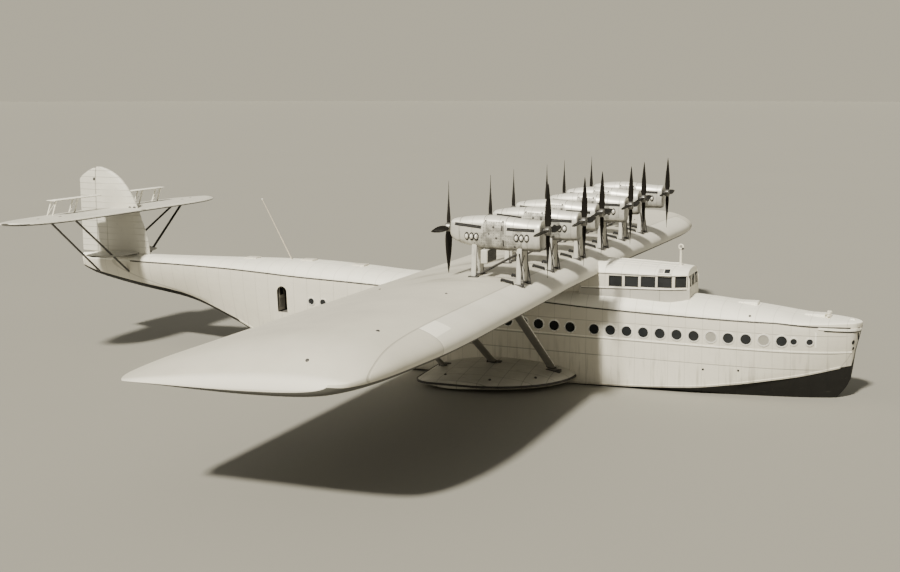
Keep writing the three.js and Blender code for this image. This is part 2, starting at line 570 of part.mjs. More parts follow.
function sponsonForm(sign, grow = 0) {
  const depth = SPONSON.lead - SPONSON.shoulder;
  const ring = (y) => {
    const u = Math.max(0, (y - SPONSON.start) / (SPONSON.tip - SPONSON.start));
    const v = Math.max(0, (y - (SPONSON.tip - SPONSON.trailRun)) / SPONSON.trailRun);
    const lead = SPONSON.shoulder + depth * Math.sqrt(Math.max(0.01, 1 - u * u));
    const trail = SPONSON.trail + SPONSON.trailRun * (1 - Math.sqrt(Math.max(0, 1 - v * v)));
    const mid = SPONSON_LIFT.rootMid + (SPONSON_LIFT.tipMid - SPONSON_LIFT.rootMid) * u;
    const thick = SPONSON_LIFT.rootThick + (SPONSON_LIFT.tipThick - SPONSON_LIFT.rootThick) * u ** 1.3;
    return Array.from({ length: SPONSON_SIDES }, (_, k) => {
      const t = (2 * Math.PI * k) / SPONSON_SIDES;
      const along = Math.cos(t);
      const swell = Math.sin(t) * (along < 0 ? 1 - 0.45 * along * along : 1);
      const x = (lead + trail) / 2 + along * ((lead - trail) / 2 + grow);
      const z = mid + swell * (thick / 2) + Math.sign(swell) * grow;
      return new THREE.Vector3(x, sign * (y + (u === 1 ? grow : 0)), z);
    });
  };
  return loft(SPONSON_STATIONS.map(ring));
}
for (const [side, sign] of [['starboard', -1], ['port', 1]]) {
  show(`sponson_${side}`, sponsonForm(sign).subtract(hullCutter), PAINT.dark);
  const cutter = sponsonForm(sign, GAP);
  for (const s of WING_STRUTS) {
    const low = [s.footX, sign * STRUT_Y.foot, s.footZ];
    const high = [s.topX, sign * STRUT_Y.top, chordZ(s.topX, STRUT_Y.top)];
    const strut = blade(low, high, s.chord, STRUT_THICK).subtract(cutter).subtract(wingCutter);
    show(`wing_strut_${side}_${s.name}`, largest(strut), PAINT.steel);
  }
}

show('wing', wing, PAINT.wing);
show('hull', hullBody.subtract(wingCutter).subtract(doorway).subtract(lobby), PAINT.hull);

// Engine pods, mounts and propellers

function podForm(disc, y, grow = 0) {
  const rings = POD.map((s) => Array.from({ length: POD_SIDES }, (_, k) => {
    const t = (2 * Math.PI * k) / POD_SIDES;
    const round = (v) => Math.sign(v) * Math.abs(v) ** 0.72;
    const mid = (s.top + s.bottom) / 2;
    return new THREE.Vector3(disc - s.aft, y + round(Math.cos(t)) * (s.half + grow),
      mid + round(Math.sin(t)) * ((s.top - s.bottom) / 2 + grow));
  }));
  return loft(rings);
}

// The two propellers of a pair turn opposite ways, which hand gives as 1 or -1
function propeller(disc, y, hand) {
  const z = ENGINE.axisZ;
  const hub = rod([disc - PROP.hubHalf, y, z], [disc + PROP.hubHalf, y, z], PROP.hubRadius, 12);
  const ring = (s, turn) => {
    const twist = THREE.MathUtils.degToRad(s.twist);
    return Array.from({ length: PROP.sides }, (_, k) => {
      const t = (2 * Math.PI * k) / PROP.sides;
      const c = Math.cos(t) * s.chord / 2;
      const h = Math.sin(t) * s.thick / 2;
      const fore = hand * (c * Math.sin(twist) + h * Math.cos(twist));
      const p = new THREE.Vector3(fore, c * Math.cos(twist) - h * Math.sin(twist), s.at);
      p.applyAxisAngle(new THREE.Vector3(1, 0, 0), turn);
      return p.add(new THREE.Vector3(disc, y, z));
    });
  };
  const turns = Array.from({ length: PROP.blades }, (_, k) => (2 * Math.PI * k) / PROP.blades);
  return union([hub, ...turns.map((turn) => loft(BLADE.map((s) => ring(s, turn))))]);
}

for (let i = 0; i < MOUNT_COUNT; i += 1) {
  const y = (i - (MOUNT_COUNT - 1) / 2) * MOUNT_PITCH;
  const disc = ENGINE.frontDisc + (i % 2 === 0 ? -1 : 1) * ENGINE.stagger;
  const rear = disc - ENGINE.discGap;
  const reach = PROP.hubHalf + GAP;
  const shaft = rod([rear + reach, y, ENGINE.axisZ], [disc - reach, y, ENGINE.axisZ], ENGINE.shaft, 12);
  show(`nacelle_${i + 1}`, podForm(disc, y).add(shaft), PAINT.pod);
  show(`propeller_${i + 1}_fore`, propeller(disc, y, 1), PAINT.wood);
  show(`propeller_${i + 1}_aft`, propeller(rear, y, -1), PAINT.wood);
  const members = [-1, 1].flatMap((sign) => {
    const at = y + sign * LEG.half;
    const legs = [LEG.foreX, LEG.aftX].map((x) => blade([x, at, LEG.low], [x, at - sign * LEG.lean, LEG.high],
      LEG.chord, LEG.thick, 8));
    return [...legs, ...MOUNT_RODS.map((r) => rod([r.fromX, at, r.fromZ], [r.toX, at, r.toZ], r.radius, 6))];
  });
  const { x0, x1, z0, z1, half } = RADIATOR;
  const radiator = block(x0, x1, y - half, y + half, z0, z1);
  const mount = union([...members, radiator]).subtract(wingCutter).subtract(podForm(disc, y, GAP));
  const under = block(-FAR, FAR, -FAR, FAR, MOUNT_REACH.low, MOUNT_REACH.high);
  show(`engine_mount_${i + 1}`, mount.intersect(under), PAINT.steel);
}

// Mast with its aerial loop, staff and bollard

const loop = new THREE.TorusGeometry(MAST.loop, MAST.wire, 6, 14);
loop.rotateX(Math.PI / 2);
loop.translate(MAST.x, 0, MAST.top - MAST.loop - MAST.wire);
const pole = rod([MAST.x, 0, MAST.foot], [MAST.x, 0, MAST.top - 2 * MAST.loop], MAST.radius, 10);
show('roof_mast', pole.add(solid(loop)).subtract(bridgeForm(-GAP)), PAINT.steel);

show('flagstaff', rod(STAFF.low, STAFF.high, STAFF.radius, 8).subtract(hullCutter), PAINT.steel);

const posts = [-1, 1].map((sign) => rod([BOLLARD.x, sign * BOLLARD.spread, BOLLARD.foot],
  [BOLLARD.x, sign * BOLLARD.spread, BOLLARD.top], BOLLARD.radius, 12));
const bar = rod([BOLLARD.x, -BOLLARD.barHalf, BOLLARD.barZ], [BOLLARD.x, BOLLARD.barHalf, BOLLARD.barZ],
  BOLLARD.barRadius, 10);
show('bow_bollard', union([...posts, bar]).subtract(hullCutter), PAINT.dark);

export default group;
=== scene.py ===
"""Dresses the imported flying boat: finer skins, engines, fittings and finishes over its solids.

Shapes are worked out in metres of the full-size boat and shrunk to the 1:2 model as each piece is finished.
X runs to the bow, Y to port, and Z up from the waterline, with the origin amidships.
"""

import math

import bmesh
import bpy
from bpy.props import FloatProperty, FloatVectorProperty, IntProperty, PointerProperty
from mathutils import Matrix, Vector
from mathutils.bvhtree import BVHTree


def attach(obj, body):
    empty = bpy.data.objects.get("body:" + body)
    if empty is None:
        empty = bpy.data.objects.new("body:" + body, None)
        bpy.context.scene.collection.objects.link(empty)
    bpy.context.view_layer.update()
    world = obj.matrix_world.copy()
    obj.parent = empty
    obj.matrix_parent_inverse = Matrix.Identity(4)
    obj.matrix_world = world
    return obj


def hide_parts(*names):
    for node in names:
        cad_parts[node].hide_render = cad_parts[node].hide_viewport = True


bl_info = {
    "name": "Flying Boat Dressing",
    "version": (1, 0, 0),
    "blender": (4, 5, 0),
    "location": "View3D > Sidebar > Flying Boat",
    "description": "Gives a packed flying boat its skins, engines, fittings and finishes",
    "category": "Object",
}

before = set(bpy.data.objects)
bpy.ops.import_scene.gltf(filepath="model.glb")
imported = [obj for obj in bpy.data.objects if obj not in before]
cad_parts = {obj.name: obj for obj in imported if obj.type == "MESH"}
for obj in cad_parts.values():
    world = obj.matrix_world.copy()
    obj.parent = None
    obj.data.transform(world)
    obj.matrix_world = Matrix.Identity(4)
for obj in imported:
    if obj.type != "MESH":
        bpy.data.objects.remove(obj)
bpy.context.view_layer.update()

MODEL = 0.5
SIDES = (("starboard", -1), ("port", 1))

# Hull stations: place, keel, chine breadth and height, gunwale breadth and height, deck ridge
HULL = (
    (13.99, 3.22, 0.03, 3.26, 0.06, 3.35, 3.40),
    (13.90, 2.76, 0.08, 2.88, 0.34, 3.37, 3.42),
    (13.76, 2.08, 0.13, 2.24, 0.56, 3.38, 3.43),
    (13.62, 0.90, 0.24, 1.50, 0.71, 3.38, 3.44),
    (13.30, 0.30, 0.42, 1.45, 0.93, 3.38, 3.46),
    (12.70, -0.35, 0.73, 1.32, 1.21, 3.36, 3.51),
    (11.65, -0.85, 1.09, 1.08, 1.50, 3.33, 3.60),
    (10.30, -1.02, 1.38, 0.83, 1.67, 3.33, 3.78),
    (8.80, -1.05, 1.56, 0.57, 1.74, 3.34, 3.96),
    (6.80, -1.05, 1.66, 0.30, 1.75, 3.38, 4.14),
    (3.00, -1.05, 1.70, 0.12, 1.75, 3.49, 4.36),
    (-2.00, -1.05, 1.70, 0.05, 1.75, 3.72, 4.36),
    (-2.03, -0.78, 1.66, 0.10, 1.75, 3.72, 4.36),
    (-7.10, -0.64, 1.62, 0.14, 1.73, 3.91, 4.46),
    (-9.50, -0.48, 1.50, 0.24, 1.69, 4.00, 4.62),
    (-12.50, -0.20, 1.26, 0.48, 1.58, 4.09, 4.74),
    (-14.50, 0.35, 0.98, 1.02, 1.45, 4.18, 4.72),
    (-16.50, 1.35, 0.72, 1.80, 1.26, 4.24, 4.67),
    (-19.40, 2.43, 0.47, 2.74, 0.95, 4.26, 4.62),
    (-22.50, 2.92, 0.31, 3.18, 0.60, 4.24, 4.59),
    (-25.20, 3.48, 0.15, 3.66, 0.28, 4.24, 4.56),
    (-25.90, 3.77, 0.10, 3.88, 0.17, 4.26, 4.52),
)

# Rear doorway, its lobby and the leaf's hinge
DOOR = {"aft": -13.43, "fore": -12.87, "sill": 2.30, "top": 3.60, "hinge_x": -13.48, "hinge_y": -1.27}
LOBBY = ((-13.59, -1.33, 2.28), (-12.81, -0.35, 3.66))

# Saddle that seats the wing on the deck
SADDLE = ((-5.10, -1.25, 4.00), (1.88, 1.25, 4.75))

# Bridge house over the fore end of the wing, with the ends of its side windows and the middles of its
# front ones
BRIDGE = {
    "aft": 1.90, "fore": 6.72, "half": 1.40, "base": 3.85, "eave": 5.08, "ridge_aft": 5.56,
    "ridge_fore": 5.38}
SIDE_PANES = ((3.24, 3.86), (3.96, 4.59), (4.68, 5.35), (5.43, 6.07), (6.18, 6.70))
FRONT_PANES = (-0.70, 0.0, 0.70)
PANE = {"low": 4.50, "high": 4.99, "rise": 0.08, "front_half": 0.30}

# Wing with its slow twist, its tips that round off and thin out, and the ailerons
WING = {
    "lead": 2.77, "trail": -6.73, "half": 24.0, "nose_z": 5.20, "tail_z": 4.33, "thick": 0.155,
    "camber": 0.035}
CHORD = WING["lead"] - WING["trail"]
TWIST = {"from": 6.0, "nose": 0.25, "round": 0.8}
WING_TIP = {
    "lead_run": 7.9, "lead_cut": 1.98, "lead_round": 2.4, "trail_run": 1.04, "trail_cut": 0.46,
    "thin_run": 3.0, "thin_to": 0.30, "thin_round": 3.7, "sink": 0.6, "droop_run": 3.75, "droop": 0.16,
    "end": 0.22, "under_from": 0.005}
AILERON = {"inner": 12.5, "outer": 22.0, "hinge": -5.02, "nose": 1.32}
WING_DOTS = ((1.01, 20.95, 0.07), (-0.18, 23.4, 0.06), (0.6, 14.2, 0.05), (-3.4, 11.2, 0.05))

# Tandem engines: the pod's stations are the place aft of the fore disc, top, bottom and half breadth
MOUNT_PITCH = 3.93
MOUNT_COUNT = 6
ENGINE = {"axis_z": 7.81, "front_disc": 3.19, "stagger": 0.16, "disc_gap": 4.07}
POD = (
    (0.20, 8.185, 7.06, 0.425),
    (0.25, 8.20, 7.03, 0.445),
    (0.45, 8.20, 7.02, 0.45),
    (1.60, 8.30, 7.00, 0.49),
    (2.20, 8.34, 7.02, 0.49),
    (3.00, 8.30, 7.12, 0.46),
    (3.62, 8.21, 7.27, 0.40),
    (3.82, 8.16, 7.38, 0.35),
    (3.88, 8.10, 7.46, 0.30),
)
LEG = {"fore_x": 2.00, "aft_x": 0.16, "half": 0.42, "lean": 0.11, "top": 7.28, "chord": 0.21, "thick": 0.11}
MOUNT_RODS = (((1.92, 6.93), (0.20, 5.98), 0.028), ((2.02, 6.95), (2.30, 5.20), 0.026))
RADIATOR = {"aft": 0.49, "fore": 0.77, "low": 6.50, "high": 7.05, "half": 0.55}

# On each side of a pod: slots with the place aft of the fore disc and the height of their ends, bulges
# by their place aft, and dots by place aft, height and radius
SLOTS = ((0.40, 7.845, 1.50, 7.875), (2.54, 7.91, 3.66, 8.00))
BULGES = (0.70, 0.91, 1.11, 2.74, 2.94, 3.14)
POD_DOTS = (
    (2.04, 7.93, 0.050),
    (1.92, 7.51, 0.050),
    (1.19, 7.19, 0.050),
    (1.68, 8.14, 0.045),
    (2.38, 8.16, 0.040),
    (2.22, 7.66, 0.035),
)

# Propeller blade stations: place from the axis, chord, thickness, twist in degrees
BLADE = (
    (0.10, 0.16, 0.120, 64),
    (0.25, 0.24, 0.090, 57),
    (0.45, 0.29, 0.066, 50),
    (0.80, 0.28, 0.050, 40),
    (1.10, 0.24, 0.040, 33),
    (1.40, 0.17, 0.032, 27),
    (1.65, 0.10, 0.024, 22),
    (1.81, 0.03, 0.014, 17),
)

# Sponsons, and the struts from them to the wing: name, foot x and z, top x, chord
SPONSON = {"root": 1.30, "start": 1.75, "tip": 5.10, "lead": 1.90, "shoulder": -2.20, "trail": -4.70}
WING_STRUTS = (
    ("fore", 1.05, 0.72, 1.05, 0.42),
    ("mid", -1.75, 0.80, -1.75, 0.42),
    ("aft", -4.10, 0.40, -4.40, 0.32),
)
STRUT_Y = (2.40, 9.0)

# Tail. The fin's outline with its rudder is height, leading and trailing edge.
TAIL = {
    "lead": -22.05, "trail": -25.00, "half": 8.6, "z": 6.89, "thick": 0.08, "sweep": 0.14, "round": 6,
    "hinge": -24.10, "inner": 0.88}
FIN = {
    "top": 9.10, "hinge": -25.05, "thick": 0.40, "tip_thick": 0.18, "tip_run": 1.2, "nose": 0.135,
    "rudder_foot": 4.63, "rudder_top": 9.03}
FIN_OUTLINE = (
    (4.30, -21.70, -25.25),
    (4.60, -21.74, -25.25),
    (4.66, -21.75, -25.95),
    (5.39, -21.85, -25.96),
    (6.42, -22.20, -25.97),
    (7.25, -22.50, -25.985),
    (7.87, -22.85, -25.99),
    (8.43, -23.30, -26.00),
    (8.75, -23.71, -25.65),
    (8.95, -24.10, -25.30),
    (9.10, -24.60, -24.90),
)
LOW_PLANE = {
    "lead": -22.30, "trail": -24.50, "half": 2.40, "z": 4.66, "thick": 0.065, "sweep": 0.14, "round": 4}
TAIL_STRUTS = (
    ("fore", (-22.80, 0.30, 3.58), (-22.83, 4.70, 6.89)),
    ("aft", (-24.90, 0.06, 3.52), (-23.74, 5.52, 6.89)),
)

# Dark spots on the tail: place and span on the stabilizer, place and height on the fin
TAIL_DOTS = ((-23.19, -5.33), (-23.48, 6.61), (-23.19, 5.33), (-23.48, -6.61))
FIN_DOTS = ((-25.02, 8.45), (-22.80, 7.00), (-22.56, 7.00))

# Small plane over each elevator, and its posts: places along the span, then top and foot along X
SERVO = {"lead": -23.90, "trail": -24.50, "inner": 1.05, "outer": 4.70, "z": 7.70, "thick": 0.14}
SERVO_POSTS = ((2.8, 4.5), ((-24.02, -24.30), (-24.32, -24.62)))


# Reading the tables

def glide(rows, at):
    """Reads a table of stations at any place, along curves that never overshoot its rows."""
    rows = sorted(rows)
    last = len(rows) - 1
    k = max([i for i in range(last) if rows[i][0] <= at], default=0)
    run = rows[k + 1][0] - rows[k][0]
    t = min(max((at - rows[k][0]) / run, 0.0), 1.0)

    def secant(i, c):
        return (rows[i + 1][c] - rows[i][c]) / (rows[i + 1][0] - rows[i][0])

    def slope(i, c):
        if i in (0, last):
            return secant(min(i, last - 1), c)
        a = secant(i - 1, c)
        b = secant(i, c)
        return 2 * a * b / (a + b) if a * b > 0 else 0.0

    values = []
    for c in range(1, len(rows[0])):
        a = rows[k][c]
        b = rows[k + 1][c]
        m = slope(k, c) * run
        n = slope(k + 1, c) * run
        values.append(a + t * m + t * t * (3 * (b - a) - 2 * m - n) + t ** 3 * (2 * (a - b) + m + n))
    return values


def steps(start, end, count):
    """Even places from start to end, both included."""
    return [start + (end - start) * k / count for k in range(count + 1)]


def mirrored(places):
    """Places on one side, then the same on the other, around the centreline."""
    return [-p for p in reversed(places) if p > 0] + list(places)


# Shapes, each a bmesh in full-size metres

def loft(rings, capped=True):
    """Draws a skin through rings of equal count by extruding the first ring's edges from ring to ring."""
    bm = bmesh.new()
    verts = bmesh.ops.create_circle(bm, cap_ends=False, segments=len(rings[0]), radius=1)["verts"]
    for vert, place in zip(verts, rings[0]):
        vert.co = place
    edges = list(bm.edges)
    if capped:
        bmesh.ops.edgeloop_fill(bm, edges=edges)
    order = {vert: k for k, vert in enumerate(verts)}
    for ring in rings[1:]:
        made = bmesh.ops.extrude_edge_only(bm, edges=edges)["geom"]
        grown = {}
        for vert in [item for item in made if isinstance(item, bmesh.types.BMVert)]:
            source = next(e.other_vert(vert) for e in vert.link_edges if e.other_vert(vert) in order)
            grown[vert] = order[source]
            vert.co = ring[order[source]]
        edges = [item for item in made if isinstance(item, bmesh.types.BMEdge)]
        order = grown
    if capped:
        bmesh.ops.edgeloop_fill(bm, edges=edges)
    bmesh.ops.recalc_face_normals(bm, faces=bm.faces)
    return bm


def axes_at(place, towards, up=(0, 0, 1)):
    """A matrix whose Z looks along a direction from a place, with its X level where that can be."""
    z = Vector(towards).normalized()
    x = Vector(up).cross(z)
    if x.length < 1e-4:
        x = Vector((1, 0, 0))
    x.normalize()
    y = z.cross(x)
    return Matrix.Translation(Vector(place)) @ Matrix((x, y, z)).transposed().to_4x4()


def rod(a, b, radius, end_radius=None, segments=14):
    """A round bar from a to b."""
    a = Vector(a)
    b = Vector(b)
    bm = bmesh.new()
    bmesh.ops.create_cone(
        bm, cap_ends=True, segments=segments, radius1=radius,
        radius2=radius if end_radius is None else end_radius, depth=(b - a).length)
    bmesh.ops.transform(bm, matrix=axes_at((a + b) / 2, b - a), verts=bm.verts)
    return bm


def slab(low, high, edge=0.01, segments=2):
    """A box between two corners, with rounded edges."""
    low = Vector(low)
    high = Vector(high)
    bm = bmesh.new()
    bmesh.ops.create_cube(bm, size=1)
    bmesh.ops.scale(bm, vec=high - low, verts=bm.verts)
    bmesh.ops.translate(bm, vec=(low + high) / 2, verts=bm.verts)
    if edge:
        bmesh.ops.bevel(
            bm, geom=bm.edges, offset=edge, segments=segments, profile=0.5, material=-1, affect="EDGES")
    return bm


def streamlined(chord, thick, count=18):
    """Points of a strut's section, nose first: along the chord and across it."""
    points = []
    for k in range(count):
        t = 2 * math.pi * k / count
        across = math.sin(t) * (1 - 0.22 * (1 - math.cos(t)))
        points.append((math.cos(t) * chord / 2, across * thick / 2))
    return points


def strut(a, b, chord, thick, taper=0.0):
    """A streamlined strut from a to b with its chord along X, its ends drawn in by taper."""
    a = Vector(a)
    b = Vector(b)
    fore = Vector((1, 0, 0))
    across = (b - a).cross(fore).normalized()
    rings = []
    end = 1 - taper
    near = 1 - taper / 3
    for t, size in ((0, end), (0.03, near), (0.08, 1), (0.92, 1), (0.97, near), (1, end)):
        at = a.lerp(b, t)
        rings.append([at + fore * u * size + across * v * size for u, v in streamlined(chord, thick)])
    return loft(rings)


def turned(profile, matrix, segments=28):
    """Spins a closed profile of radius and height pairs into a ring or a solid."""
    bm = bmesh.new()
    verts = [bm.verts.new((r, 0, h)) for r, h in profile]
    edges = [bm.edges.new((verts[k - 1], verts[k])) for k in range(len(verts))]
    bmesh.ops.spin(
        bm, geom=verts + edges, cent=(0, 0, 0), axis=(0, 0, 1), angle=2 * math.pi, steps=segments,
        use_merge=True)
    bmesh.ops.remove_doubles(bm, verts=bm.verts, dist=1e-5)
    bmesh.ops.dissolve_degenerate(bm, edges=bm.edges, dist=1e-6)
    bmesh.ops.recalc_face_normals(bm, faces=bm.faces)
    bmesh.ops.transform(bm, matrix=matrix, verts=bm.verts)
    return bm


def dome(matrix, radius, height, segments=20):
    """A low dome on a skin: a sphere's upper half, flattened."""
    bm = bmesh.new()
    bmesh.ops.create_uvsphere(bm, u_segments=segments, v_segments=10, radius=1)
    bmesh.ops.scale(bm, vec=(radius, radius, height), verts=bm.verts)
    bmesh.ops.transform(bm, matrix=matrix, verts=bm.verts)
    return bm


def strip(points, normals, width, height):
    """A raised strap along points on a skin, as wide and as high as given."""
    rings = []
    for k, point in enumerate(points):
        point = Vector(point)
        along = Vector(points[min(k + 1, len(points) - 1)]) - Vector(points[max(k - 1, 0)])
        up = Vector(normals[k]).normalized()
        side = along.cross(up).normalized() * (width / 2)
        rings.append([
            point - side - up * height, point - side * 0.9 + up * height, point + side * 0.9 + up * height,
            point + side - up * height])
    return loft(rings)


def count_under(shape, limit=-0.25):
    """Numbers 1 the faces that look down."""
    shape.normal_update()
    for face in shape.faces:
        if face.normal.z < limit:
            face.material_index = 1
    return shape


def carve(shape, tool, operation="DIFFERENCE"):
    """Cuts one closed shape by another and returns what is left."""
    objects = []
    for name, bm in (("carved", shape), ("tool", tool)):
        mesh = bpy.data.meshes.new(name)
        bm.to_mesh(mesh)
        bm.free()
        objects.append(bpy.data.objects.new(name, mesh))
        bpy.context.scene.collection.objects.link(objects[-1])
    cut = objects[0].modifiers.new("Cut", "BOOLEAN")
    cut.operation = operation
    cut.solver = "EXACT"
    cut.object = objects[1]
    graph = bpy.context.evaluated_depsgraph_get()
    mesh = bpy.data.meshes.new_from_object(objects[0].evaluated_get(graph))
    result = bmesh.new()
    result.from_mesh(mesh)
    bpy.data.meshes.remove(mesh)
    for obj in objects:
        spent = obj.data
        bpy.data.objects.remove(obj)
        bpy.data.meshes.remove(spent)
    if not result.faces:
        raise RuntimeError("nothing is left of a carved shape")
    return result


def joined(shapes):
    """Several shapes in one bmesh, each keeping its paint numbers."""
    result = bmesh.new()
    for shape in shapes:
        mesh = bpy.data.meshes.new("part")
        shape.to_mesh(mesh)
        shape.free()
        result.from_mesh(mesh)
        bpy.data.meshes.remove(mesh)
    return result


class Skin:
    """A skin that fittings are seated on, found by looking at it along a line."""

    def __init__(self, shape):
        self.tree = BVHTree.FromBMesh(shape)

    def seat(self, start, towards):
        place, normal, _, _ = self.tree.ray_cast(Vector(start), Vector(towards))
        if place is None:
            raise RuntimeError(f"no skin is met from {start}")
        return place, normal

    def side(self, x, z, sign):
        """The place and outward direction of the skin on one side."""
        return self.seat((x, sign * 30, z), (0, -sign, 0))

    def deck(self, x, y):
        """The place and upward direction of the skin seen from above."""
        return self.seat((x, y, 30), (0, 0, -1))


class Piece:
    """A finished object put together from shapes, each with its own paint."""

    def __init__(self, name):
        self.name = name
        self.body = bmesh.new()
        self.paints = []

    def take(self, shape, *paints):
        """Adds a shape. Its paint numbers count into the paints that are named."""
        for paint in paints:
            if paint not in self.paints:
                self.paints.append(paint)
        for face in shape.faces:
            face.material_index = self.paints.index(paints[min(face.material_index, len(paints) - 1)])
        mesh = bpy.data.meshes.new("part")
        shape.to_mesh(mesh)
        shape.free()
        self.body.from_mesh(mesh)
        bpy.data.meshes.remove(mesh)
        return self

    def finish(self, rides, slot, *nodes, sharp=32):
        """Shrinks the piece to the model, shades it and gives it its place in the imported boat."""
        bmesh.ops.scale(self.body, vec=(MODEL, MODEL, MODEL), verts=self.body.verts)
        mesh = bpy.data.meshes.new(self.name)
        self.body.to_mesh(mesh)
        self.body.free()
        for paint in self.paints:
            mesh.materials.append(paint)
        mesh.shade_smooth()
        mesh.set_sharp_from_angle(angle=math.radians(sharp))
        obj = bpy.data.objects.new(self.name, mesh)
        bpy.context.scene.collection.objects.link(obj)
        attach(obj, rides)
        if nodes:
            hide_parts(*nodes)
        return obj


# Finishes

class Number:
    """A shader socket. Python arithmetic on it adds Math nodes."""

    def __init__(self, finish, socket):
        self.finish = finish
        self.socket = socket

    def math(self, operation, *values):
        inputs = dict(enumerate(values))
        return self.finish.node("ShaderNodeMath", {"operation": operation}, inputs)

    def __add__(self, other):
        return self.math("ADD", self, other)

    def __radd__(self, other):
        return self.math("ADD", other, self)

    def __sub__(self, other):
        return self.math("SUBTRACT", self, other)

    def __rsub__(self, other):
        return self.math("SUBTRACT", other, self)

    def __mul__(self, other):
        return self.math("MULTIPLY", self, other)

    def __rmul__(self, other):
        return self.math("MULTIPLY", other, self)

    def __truediv__(self, other):
        return self.math("DIVIDE", self, other)

    def __rtruediv__(self, other):
        return self.math("DIVIDE", other, self)

    def __abs__(self):
        return self.math("ABSOLUTE", self)

    def clamp(self):
        return self.finish.node("ShaderNodeClamp", {}, {0: self})

    def above(self, low, high):
        """Rises smoothly from 0 at low to 1 at high."""
        return self.finish.node(
            "ShaderNodeMapRange", {"interpolation_type": "SMOOTHSTEP"},
            {0: self, 1: low, 2: high, 3: 0.0, 4: 1.0})

    def below(self, low, high):
        """Falls smoothly from 1 at low to 0 at high."""
        return self.finish.node(
            "ShaderNodeMapRange", {"interpolation_type": "SMOOTHSTEP"},
            {0: self, 1: low, 2: high, 3: 1.0, 4: 0.0})

    def line(self, at, half):
        """1 on a line where the value is at, fading to 0 at half a line's width."""
        return abs(self - at).below(half * 0.4, half)

    def lines(self, pitch, half, start=0.0):
        """Lines at every pitch from start."""
        away = self.math("PINGPONG", self - start, pitch / 2)
        return away.below(half * 0.4, half)

    def within(self, low, high, soft):
        """1 between low and high, with soft ends."""
        return self.above(low - soft, low + soft) * self.below(high - soft, high + soft)

    def either(self, other):
        return self.math("MAXIMUM", self, other)


class Finish:
    """A procedural material, measured in full-size metres over the object's own coordinates."""

    def __init__(self, name, roughness=0.5, metallic=0.0, **uniform):
        self.material = bpy.data.materials.new(name)
        self.material.use_nodes = True
        self.tree = self.material.node_tree
        self.shader = self.tree.nodes["Principled BSDF"]
        self.shader.inputs["Roughness"].default_value = roughness
        self.shader.inputs["Metallic"].default_value = metallic
        for name_, value in uniform.items():
            self.shader.inputs[name_.replace("_", " ").title()].default_value = value
        self.places = {}

    def node(self, kind, settings, inputs, output=0):
        """Adds a node, sets it, feeds its sockets and returns one of its outputs."""
        node = self.tree.nodes.new(kind)
        for key, value in settings.items():
            setattr(node, key, value)
        for key, value in inputs.items():
            if isinstance(value, Number):
                self.tree.links.new(value.socket, node.inputs[key])
            else:
                node.inputs[key].default_value = value
        return Number(self, node.outputs[output])

    def place(self, stretch=(1, 1, 1), turn=(0, 0, 0)):
        """The object's coordinates in full-size metres, stretched or turned."""
        key = (tuple(stretch), tuple(turn))
        if key not in self.places:
            own = self.node("ShaderNodeTexCoord", {}, {}, 3)
            scale = [s / MODEL for s in stretch]
            self.places[key] = self.node("ShaderNodeMapping", {}, {0: own, "Scale": scale, "Rotation": turn})
        return self.places[key]

    def axes(self):
        """X, Y and Z in full-size metres."""
        place = self.place()
        return [self.node("ShaderNodeSeparateXYZ", {}, {0: place}, k) for k in range(3)]

    def noise(self, scale, detail=3.0, stretch=(1, 1, 1), roughness=0.55):
        """A cloud of values about one half."""
        return self.node("ShaderNodeTexNoise", {}, {
            "Vector": self.place(stretch), "Scale": scale, "Detail": detail, "Roughness": roughness})

    def mix(self, a, b, factor):
        """Goes from colour a to colour b."""
        a, b = [c if isinstance(c, Number) else (*c, 1.0) for c in (a, b)]
        return self.node("ShaderNodeMix", {"data_type": "RGBA"}, {0: factor, 6: a, 7: b}, 2)

    def feed(self, name, value):
        """Feeds one of the shader's sockets."""
        if isinstance(value, Number):
            self.tree.links.new(value.socket, self.shader.inputs[name])
        else:
            self.shader.inputs[name].default_value = value

    def bump(self, height, distance, strength=1.0):
        """Raises the surface by a height, distance being its full rise in model metres."""
        self.feed("Normal", self.node("ShaderNodeBump", {}, {
            "Height": height, "Distance": distance, "Strength": strength}))

    def done(self, colour, roughness=None, metallic=None):
        """Feeds the colour and what else varies, and gives the material."""
        self.feed("Base Color", colour if isinstance(colour, Number) else (*colour, 1.0))
        if roughness is not None:
            self.feed("Roughness", roughness)
        if metallic is not None:
            self.feed("Metallic", metallic)
        return self.material


def shade(colour, factor):
    """A colour made darker or lighter by one factor."""
    return tuple(min(c * factor, 1.0) for c in colour)


def kept(make):
    """Makes a finish once and hands out the same one after that."""
    store = {}

    def get():
        if "made" not in store:
            store["made"] = make()
        return store["made"]
    return get


